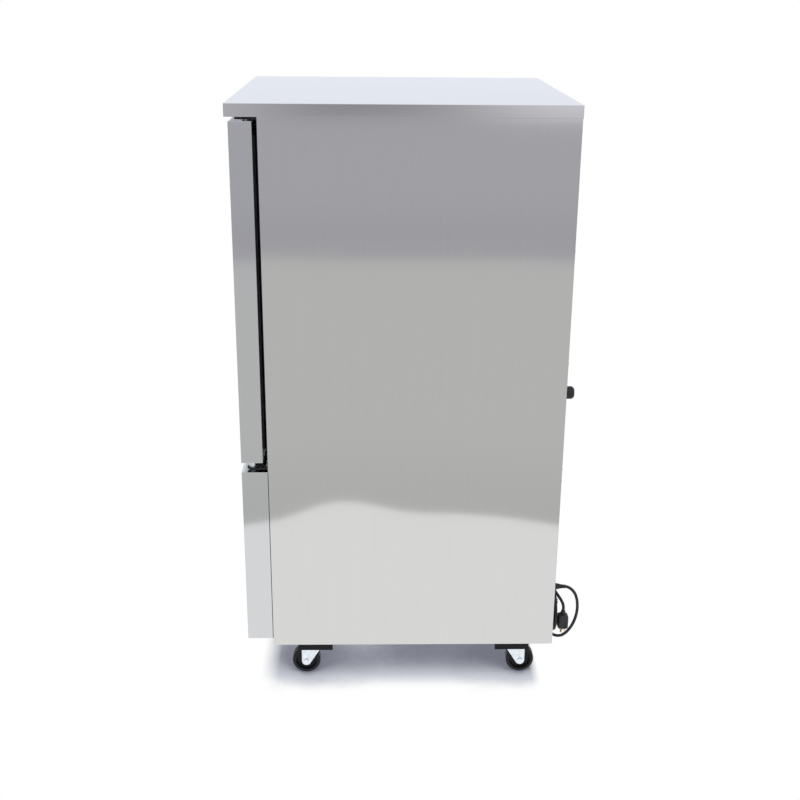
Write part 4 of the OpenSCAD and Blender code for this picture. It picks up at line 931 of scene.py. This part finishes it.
class ChillerFins(bpy.types.Operator):
    """The close aluminium fins of the evaporator and the condenser"""

    bl_idname = "chiller.fins"
    bl_label = "Fins"

    # half the thickness of the frame's own plates, and of the fins between them
    PLATE, FIN = 0.6 * MM, 0.1 * MM
    # fins in each gap between two of the frame's plates
    BETWEEN = 3

    def execute(self, context):
        self.pack("evaporator_fins", "evaporator_coil", 260 * MM, (182.5 * MM, 294.5 * MM), 26, MM)
        self.pack("condenser_fins", "condenser_coil", 200 * MM, (-301.5 * MM, -235.5 * MM), 28, 18 * MM)
        return {"FINISHED"}

    def pack(self, name, node, half, depth, gaps, foot):
        """Thin plates between the frame's own ones, which start that far above the coil's foot."""
        low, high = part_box(node)
        centre = (low.x + high.x) / 2
        pitch = 2 * (half - self.PLATE) / gaps
        step = pitch / (self.BETWEEN + 1)
        first = centre - half + self.PLATE + step
        plate = add_block(name, (first - self.FIN, depth[0], low.z + foot),
                          (first + self.FIN, depth[1], high.z - MM))
        edit(plate, "EDGE")
        pick_edges(plate, lambda a, b: abs(a.x - b.x) > self.FIN)
        bpy.ops.mesh.bevel(offset=2 * MM, segments=1, affect="EDGES")
        leave_edit()
        for count, offset in ((self.BETWEEN, step), (gaps, pitch)):
            row = plate.modifiers.new("row", "ARRAY")
            row.use_relative_offset = False
            row.use_constant_offset = True
            row.constant_offset_displace = (offset, 0, 0)
            row.count = count
        apply_all(plate)
        finish_piece(plate, "cabinet", FINISHES["fin_aluminium"])


class ChillerGasket(bpy.types.Operator):
    """The door's gasket: a dart, a folded bellows and a magnet tube"""

    bl_idname = "chiller.gasket"
    bl_label = "Gasket"

    # across the seal from its middle line, and from the door's face, in millimetres
    PROFILE = [(-6, 0.1), (6, 0.1), (6.5, 2.4), (4.6, 3.4), (2.6, 3.9), (4.8, 4.9), (2.8, 5.9),
               (5.6, 6.6), (9.2, 7.2), (9.8, 8.6), (9.4, 10.6), (8.2, 11.9), (-8.2, 11.9),
               (-9.4, 10.6), (-9.8, 8.6), (-9.2, 7.2), (-5.6, 6.6), (-2.8, 5.9), (-4.8, 4.9),
               (-2.6, 3.9), (-4.6, 3.4), (-6.5, 2.4)]

    def execute(self, context):
        low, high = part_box("door_gasket")
        centre = (low + high) / 2
        half = Vector((high.x - centre.x - 10 * MM, 0, high.z - centre.z - 10 * MM))
        deselect()
        bpy.ops.mesh.primitive_plane_add(size=2, location=(0, 0, 0), rotation=(math.pi / 2, 0, 0))
        piece = named("door_gasket_bellows")
        settle(piece)
        before = Vector((1, 0, 1))
        edit(piece, "FACE")
        bpy.ops.mesh.select_all(action="SELECT")
        bpy.ops.mesh.delete(type="ONLY_FACE")
        bpy.ops.mesh.select_mode(type="EDGE")
        bpy.ops.mesh.select_all(action="SELECT")
        at = 0.0
        for i, (out, forward) in enumerate(self.PROFILE):
            if i:
                bpy.ops.mesh.extrude_edges_move()
            size = half + Vector((out, 0, out)) * MM
            y = low.y + forward * MM
            bpy.ops.transform.resize(value=(size.x / before.x, 1, size.z / before.z),
                                     center_override=(0, 0, 0))
            bpy.ops.transform.translate(value=(0, y - at, 0))
            before, at = size, y
        bpy.ops.mesh.select_all(action="DESELECT")
        mesh = bmesh.from_edit_mesh(piece.data)
        for edge in mesh.edges:
            edge.select_set(edge.is_boundary)
        bmesh.update_edit_mesh(piece.data)
        bpy.ops.mesh.bridge_edge_loops()
        bpy.ops.mesh.select_all(action="SELECT")
        bpy.ops.transform.translate(value=(centre.x, 0, centre.z))
        bpy.ops.mesh.normals_make_consistent(inside=False)
        leave_edit()
        smooth(piece, 50)
        finish_piece(piece, "door", FINISHES["gasket_rubber"], ["door_gasket"])
        return {"FINISHED"}


class ChillerControls(bpy.types.Operator):
    """The unlit figures in the display and a plain sign on each key"""

    bl_idname = "chiller.controls"
    bl_label = "Controls"

    # the seven bars of a figure: middle across and up, and whether it lies, in figure heights
    BARS = [(0, 0.5, True), (0, 0, True), (0, -0.5, True), (-0.27, 0.25, False),
            (0.27, 0.25, False), (-0.27, -0.25, False), (0.27, -0.25, False)]

    def execute(self, context):
        low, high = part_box("display_window")
        height = 20 * MM
        bars = []
        for k in range(3):
            x = (low.x + high.x) / 2 + (k - 1) * 24 * MM
            for across, up, lies in self.BARS:
                place = (x + across * height * 1.04, low.y - 0.05 * MM, (low.z + high.z) / 2 + up * height)
                bars.append(self.bar(place, height * 0.40, lies))
        digits = join("display_figures", bars)
        finish_piece(digits, "cabinet", FINISHES["segments"])
        bodies = ["first_key", "second_key", "third_key", "fourth_key"]
        for i, body in enumerate(bodies):
            low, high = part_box(f"key_{i + 1}")
            centre = Vector(((low.x + high.x) / 2, low.y, (low.z + high.z) / 2))
            mark = join(f"key_sign_{i + 1}", self.sign(i, centre))
            smooth(mark, 30)
            finish_piece(mark, body, FINISHES["key_marks"])
        return {"FINISHED"}

    def bar(self, place, length, lies):
        """One bar of a figure: a flat bar with pointed ends."""
        deselect()
        bpy.ops.mesh.primitive_cylinder_add(vertices=6, radius=length / 2, depth=0.1 * MM,
                                            location=place, rotation=(math.pi / 2, 0, 0))
        piece = named("bar")
        turn = Matrix.Rotation(math.radians(30), 4, "Z")
        piece.data.transform(turn)
        for point in piece.data.vertices:
            point.co.y *= 0.24
            if abs(point.co.x) < length * 0.3:
                point.co.x *= 1.9
        if not lies:
            piece.data.transform(Matrix.Rotation(math.pi / 2, 4, "Z"))
        settle(piece)
        return piece

    def sign(self, i, centre):
        """A ring with a bar, an arrow down, an arrow up and a star of three bars."""
        raised = 0.25 * MM
        out = Vector((0, -raised / 2, 0))
        if i == 0:
            deselect()
            bpy.ops.mesh.primitive_torus_add(major_radius=3.2 * MM, minor_radius=0.4 * MM,
                                             major_segments=32, minor_segments=8,
                                             location=centre + Vector((0, 0.1 * MM, 0)),
                                             rotation=(math.pi / 2, 0, 0))
            ring = named("ring")
            settle(ring)
            return [ring, add_rod("stem", centre + Vector((0, 0, MM)), centre + Vector((0, 0, 4.2 * MM)),
                                  0.4 * MM, 10)]
        if i in (1, 2):
            deselect()
            bpy.ops.mesh.primitive_cylinder_add(vertices=3, radius=3.6 * MM, depth=raised,
                                                location=centre + out,
                                                rotation=(math.pi / 2, 0 if i == 2 else math.pi, 0))
            arrow = named("arrow")
            settle(arrow)
            round_edges(arrow, 0.1 * MM, 1)
            return [arrow]
        star = []
        for k in range(3):
            along = Vector((math.cos(k * math.pi / 3 + math.pi / 2), 0,
                            math.sin(k * math.pi / 3 + math.pi / 2))) * 3.8 * MM
            star.append(add_rod("ray", centre - along, centre + along, 0.35 * MM, 10))
        return star


# ---- studio ----


class ChillerStudio(bpy.types.Operator):
    """The camera, the floor, the room that the steel mirrors, and the lamps"""

    bl_idname = "chiller.studio"
    bl_label = "Studio"

    # the floor's painted shade: its tone by how open the floor is, from where the cabinet covers it to
    # where it is open
    SHADE = [(0.41, (0.17, 0.178, 0.22)), (0.48, (0.27, 0.283, 0.325)), (0.54, (0.46, 0.477, 0.532)),
             (0.62, (0.54, 0.555, 0.615)), (0.70, (0.57, 0.59, 0.645)), (0.735, (0.66, 0.68, 0.71)),
             (0.775, (0.93, 0.955, 0.965)), (0.80, (1, 1, 1))]
    # the white floor's lobes: how many, how narrow, and where they point
    LOBES, LOBE_POWER, LOBE_TURN = 6, 4, 0.13
    # over what length the white floor ends, and where the room's floor has its near and its far tone
    PAPER_FADE, NEAR, FAR = 0.02, 1.35, 2.2
    # the painted shade starts and ends over these places, from the side panel's front and rear edges
    SHADE_FRONT, SHADE_REAR = (-40 * MM, 10 * MM), (-27 * MM, -50 * MM)
    # the wall's bays: how many, how narrow, their least tone without the slow wave, and their rise
    BAYS, BAY_POWER, BAY_LEAST, BAY_RISE = 14, 1.5, 0.745, 0.62
    # a slow wave, half as many as the bays, goes over them
    SLOW_RISE = 0.2
    # half the height over which the bays fade in
    BAY_FADE = 0.01
    # the wall's tone at its foot, and the heights between which it comes up to its full tone
    FOOT_TONE, FOOT_HEIGHTS = 0.94, (0.2, 0.4)
    # the soft light's colour and strength, and the lamps' place, size and power
    SOFT_COLOUR, SOFT_STRENGTH = (0.97, 0.98, 1.0, 1), 0.75
    LAMPS = [((0.6, -0.3, 3.4), 2.6, 34), ((3.0, -2.6, 2.2), 1.8, 22), ((2.6, 2.8, 1.8), 1.8, 14)]
    LAMP_TARGET = Vector((0, 0, 0.7))

    def maths(self, nodes, links, operation, *values):
        """One step of arithmetic on numbers and sockets."""
        node = nodes.new("ShaderNodeMath")
        node.operation = operation
        for socket, value in zip(node.inputs, values):
            if isinstance(value, (int, float)):
                socket.default_value = value
            else:
                links.new(value, socket)
        return node.outputs[0]

    def ranged(self, nodes, links, value, start, end):
        """0 before the start and 1 past the end."""
        node = nodes.new("ShaderNodeMapRange")
        node.inputs["From Min"].default_value = start
        node.inputs["From Max"].default_value = end
        links.new(value, node.inputs["Value"])
        return node.outputs["Result"]

    def mixed(self, nodes, links, factor, first, second):
        """The first colour at 0 and the second at 1."""
        node = nodes.new("ShaderNodeMix")
        node.data_type = "RGBA"
        links.new(factor, node.inputs["Factor"])
        for socket, colour in ((node.inputs["A"], first), (node.inputs["B"], second)):
            if isinstance(colour, tuple):
                socket.default_value = colour
            else:
                links.new(colour, socket)
        return node.outputs["Result"]

    def execute(self, context):
        self.camera(context)
        self.world(context)
        self.floor(context)
        self.wall(context)
        self.lamps(context)
        context.scene.view_settings.view_transform = "Standard"
        return {"FINISHED"}

    def camera(self, context):
        settings = context.scene.chiller_studio
        deselect()
        bpy.ops.object.camera_add()
        camera = bpy.context.active_object
        camera.data.lens = settings.lens
        camera.data.sensor_width = 36
        camera.data.clip_end = 100
        camera.matrix_world = (
            Matrix.Translation(settings.camera_place)
            @ Matrix.Rotation(math.pi / 2 + settings.camera_turn, 4, "Z")
            @ Matrix.Rotation(math.pi / 2 - settings.camera_tilt, 4, "X")
            @ Matrix.Rotation(settings.camera_roll, 4, "Z"))
        context.scene.camera = camera

    def world(self, context):
        """White behind the object, the light above the wall for the steel, soft light for the rest."""
        settings = context.scene.chiller_studio
        world = bpy.data.worlds.new("studio light")
        context.scene.world = world
        world.use_nodes = True
        nodes, links = world.node_tree.nodes, world.node_tree.links
        nodes.clear()
        path = nodes.new("ShaderNodeLightPath")
        soft, white, above = [nodes.new("ShaderNodeBackground") for _ in range(3)]
        soft.inputs["Color"].default_value = self.SOFT_COLOUR
        soft.inputs["Strength"].default_value = self.SOFT_STRENGTH
        white.inputs["Strength"].default_value = 1.0
        white.inputs["Color"].default_value = (1, 1, 1, 1)
        above.inputs["Color"].default_value = (*settings.sky_colour, 1)
        first, second, third = [nodes.new("ShaderNodeMixShader") for _ in range(3)]
        out = nodes.new("ShaderNodeOutputWorld")
        links.new(path.outputs["Is Camera Ray"], first.inputs["Fac"])
        links.new(soft.outputs[0], first.inputs[1])
        links.new(white.outputs[0], first.inputs[2])
        links.new(path.outputs["Is Glossy Ray"], second.inputs["Fac"])
        links.new(first.outputs[0], second.inputs[1])
        links.new(above.outputs[0], second.inputs[2])
        links.new(path.outputs["Is Transmission Ray"], third.inputs["Fac"])
        links.new(second.outputs[0], third.inputs[1])
        links.new(white.outputs[0], third.inputs[2])
        links.new(third.outputs[0], out.inputs["Surface"])

    def floor(self, context):
        """A white floor with the cabinet's shade painted on it from the occlusion; the steel sees it end
        in the room's grey floor.
        """
        settings = context.scene.chiller_studio
        deselect()
        bpy.ops.mesh.primitive_circle_add(vertices=96, radius=30, fill_type="NGON")
        floor = named("studio_floor")
        material = bpy.data.materials.new("studio floor")
        material.use_nodes = True
        nodes, links = material.node_tree.nodes, material.node_tree.links
        nodes.clear()
        shade = nodes.new("ShaderNodeAmbientOcclusion")
        shade.samples = 16
        shade.inputs["Distance"].default_value = settings.shade_reach
        ramp = nodes.new("ShaderNodeValToRGB")
        stops = ramp.color_ramp.elements
        while len(stops) < len(self.SHADE):
            stops.new(0.5)
        for stop, (open_to, colour) in zip(stops, self.SHADE):
            stop.position = open_to
            stop.color = (*colour, 1)
        links.new(shade.outputs["AO"], ramp.inputs["Fac"])
        place = nodes.new("ShaderNodeTexCoord").outputs["Object"]
        split = nodes.new("ShaderNodeSeparateXYZ")
        links.new(place, split.inputs[0])
        x, y = split.outputs["X"], split.outputs["Y"]
        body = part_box("right_side_panel")
        front = self.ranged(nodes, links, y, *[body[0].y + place for place in self.SHADE_FRONT])
        rear = self.ranged(nodes, links, y, *[body[1].y + place for place in self.SHADE_REAR])
        painted_shade = self.mixed(nodes, links, self.maths(nodes, links, "MULTIPLY", front, rear),
                            (1, 1, 1, 1), ramp.outputs["Color"])
        # the camera sees the floor as emission in this colour, so its shade is painted, not cast by the
        # lamps
        seen = nodes.new("ShaderNodeEmission")
        links.new(painted_shade, seen.inputs["Color"])
        length = nodes.new("ShaderNodeVectorMath")
        length.operation = "LENGTH"
        links.new(place, length.inputs[0])
        away = length.outputs["Value"]
        angle = self.maths(nodes, links, "ARCTAN2", y, x)
        turned = self.maths(nodes, links, "ADD", angle, self.LOBE_TURN)
        swell = self.maths(nodes, links, "MULTIPLY", turned, self.LOBES)
        swell = self.maths(nodes, links, "MAXIMUM", self.maths(nodes, links, "COSINE", swell), 0)
        swell = self.maths(nodes, links, "POWER", swell, self.LOBE_POWER)
        swell = self.maths(nodes, links, "MULTIPLY", swell, settings.paper_lobe)
        beyond = self.maths(nodes, links, "SUBTRACT", away, swell)
        radius = settings.paper_radius
        edge = self.ranged(nodes, links, beyond, radius, radius + self.PAPER_FADE)
        far = self.ranged(nodes, links, away, self.NEAR, self.FAR)
        grey = self.mixed(nodes, links, far, (*settings.near_floor_colour, 1),
                          (*settings.room_floor_colour, 1))
        tone = self.mixed(nodes, links, edge, (1, 1, 1, 1), grey)
        mirrored = nodes.new("ShaderNodeEmission")
        links.new(tone, mirrored.inputs["Color"])
        bounce = nodes.new("ShaderNodeBsdfDiffuse")
        bounce.inputs["Color"].default_value = (0.8, 0.8, 0.8, 1)
        path = nodes.new("ShaderNodeLightPath")
        first, second = [nodes.new("ShaderNodeMixShader") for _ in range(2)]
        out = nodes.new("ShaderNodeOutputMaterial")
        links.new(path.outputs["Is Camera Ray"], first.inputs["Fac"])
        links.new(bounce.outputs[0], first.inputs[1])
        links.new(seen.outputs[0], first.inputs[2])
        links.new(path.outputs["Is Glossy Ray"], second.inputs["Fac"])
        links.new(first.outputs[0], second.inputs[1])
        links.new(mirrored.outputs[0], second.inputs[2])
        links.new(second.outputs[0], out.inputs["Surface"])
        floor.data.materials.append(material)

    def wall(self, context):
        """The room's low grey wall, which only the steel mirrors, with bays above its plain height."""
        settings = context.scene.chiller_studio
        deselect()
        bpy.ops.mesh.primitive_cylinder_add(vertices=96, radius=settings.room_radius,
                                            depth=settings.wall_height, end_fill_type="NOTHING",
                                            location=(0, 0, settings.wall_height / 2))
        wall = named("studio_wall")
        settle(wall)
        wall.visible_camera = False
        wall.visible_diffuse = False
        wall.visible_transmission = False
        wall.visible_shadow = False
        material = bpy.data.materials.new("studio wall")
        material.use_nodes = True
        nodes, links = material.node_tree.nodes, material.node_tree.links
        nodes.clear()
        place = nodes.new("ShaderNodeTexCoord")
        split = nodes.new("ShaderNodeSeparateXYZ")
        links.new(place.outputs["Object"], split.inputs[0])
        angle = self.maths(nodes, links, "ARCTAN2", split.outputs["Y"], split.outputs["X"])
        height = split.outputs["Z"]
        wave = self.maths(nodes, links, "MULTIPLY", angle, self.BAYS)
        wave = self.ranged(nodes, links, self.maths(nodes, links, "COSINE", wave), 1, -1)
        bays = self.maths(nodes, links, "POWER", wave, self.BAY_POWER)
        bays = self.maths(nodes, links, "MULTIPLY_ADD", bays, self.BAY_RISE, self.BAY_LEAST)
        slow = self.maths(nodes, links, "MULTIPLY", angle, self.BAYS / 2)
        slow = self.maths(nodes, links, "SINE", slow)
        bays = self.maths(nodes, links, "MULTIPLY_ADD", slow, self.SLOW_RISE, bays)
        low = settings.plain_height
        above = self.ranged(nodes, links, height, low - self.BAY_FADE, low + self.BAY_FADE)
        lift = self.maths(nodes, links, "SUBTRACT", bays, 1)
        tone = self.maths(nodes, links, "MULTIPLY_ADD", above, lift, self.FOOT_TONE)
        upper = self.ranged(nodes, links, height, *self.FOOT_HEIGHTS)
        tone = self.maths(nodes, links, "MULTIPLY_ADD", upper, 1 - self.FOOT_TONE, tone)
        glow = nodes.new("ShaderNodeEmission")
        glow.inputs["Color"].default_value = (*settings.room_wall_colour, 1)
        links.new(tone, glow.inputs["Strength"])
        out = nodes.new("ShaderNodeOutputMaterial")
        links.new(glow.outputs[0], out.inputs["Surface"])
        wall.data.materials.append(material)

    def lamps(self, context):
        """Three soft boxes that the steel doesn't mirror."""
        for place, size, power in self.LAMPS:
            deselect()
            bpy.ops.object.light_add(type="AREA", location=place)
            lamp = bpy.context.active_object
            lamp.data.size = size
            lamp.data.energy = power
            lamp.visible_glossy = False
            direction = self.LAMP_TARGET - Vector(place)
            lamp.rotation_euler = direction.to_track_quat("-Z", "Y").to_euler()


OPERATORS = [ChillerStudio, ChillerFinishes, ChillerLead, ChillerFoldedEdges, ChillerScrews,
             ChillerJointShadeStrips, ChillerFanGuards, ChillerFins, ChillerGasket, ChillerControls]


class ChillerPanel(bpy.types.Panel):
    """Lists the steps in the order in which they are run"""

    bl_idname = "VIEW3D_PT_chiller"
    bl_label = "Blast chiller"
    bl_space_type = "VIEW_3D"
    bl_region_type = "UI"
    bl_category = "Chiller"

    def draw(self, context):
        for operator in OPERATORS:
            self.layout.operator(operator.bl_idname)
        for name, group in SETTINGS.items():
            box = self.layout.box()
            for field in group.__annotations__:
                box.prop(getattr(context.scene, name), field)


def register():
    for name, group in SETTINGS.items():
        bpy.utils.register_class(group)
        setattr(bpy.types.Scene, name, bpy.props.PointerProperty(type=group))
    for kind in [*OPERATORS, ChillerPanel]:
        bpy.utils.register_class(kind)


def unregister():
    for kind in [ChillerPanel, *reversed(OPERATORS)]:
        bpy.utils.unregister_class(kind)
    for name, group in SETTINGS.items():
        delattr(bpy.types.Scene, name)
        bpy.utils.unregister_class(group)


def main():
    register()
    bpy.ops.chiller.studio()
    bpy.ops.chiller.finishes()
    bpy.ops.chiller.mains_lead()
    bpy.ops.chiller.folded_edges()
    bpy.ops.chiller.screws()
    bpy.ops.chiller.panel_seals()
    bpy.ops.chiller.fan_guards()
    bpy.ops.chiller.fins()
    bpy.ops.chiller.gasket()
    bpy.ops.chiller.controls()


if __name__ == "__main__":
    main()
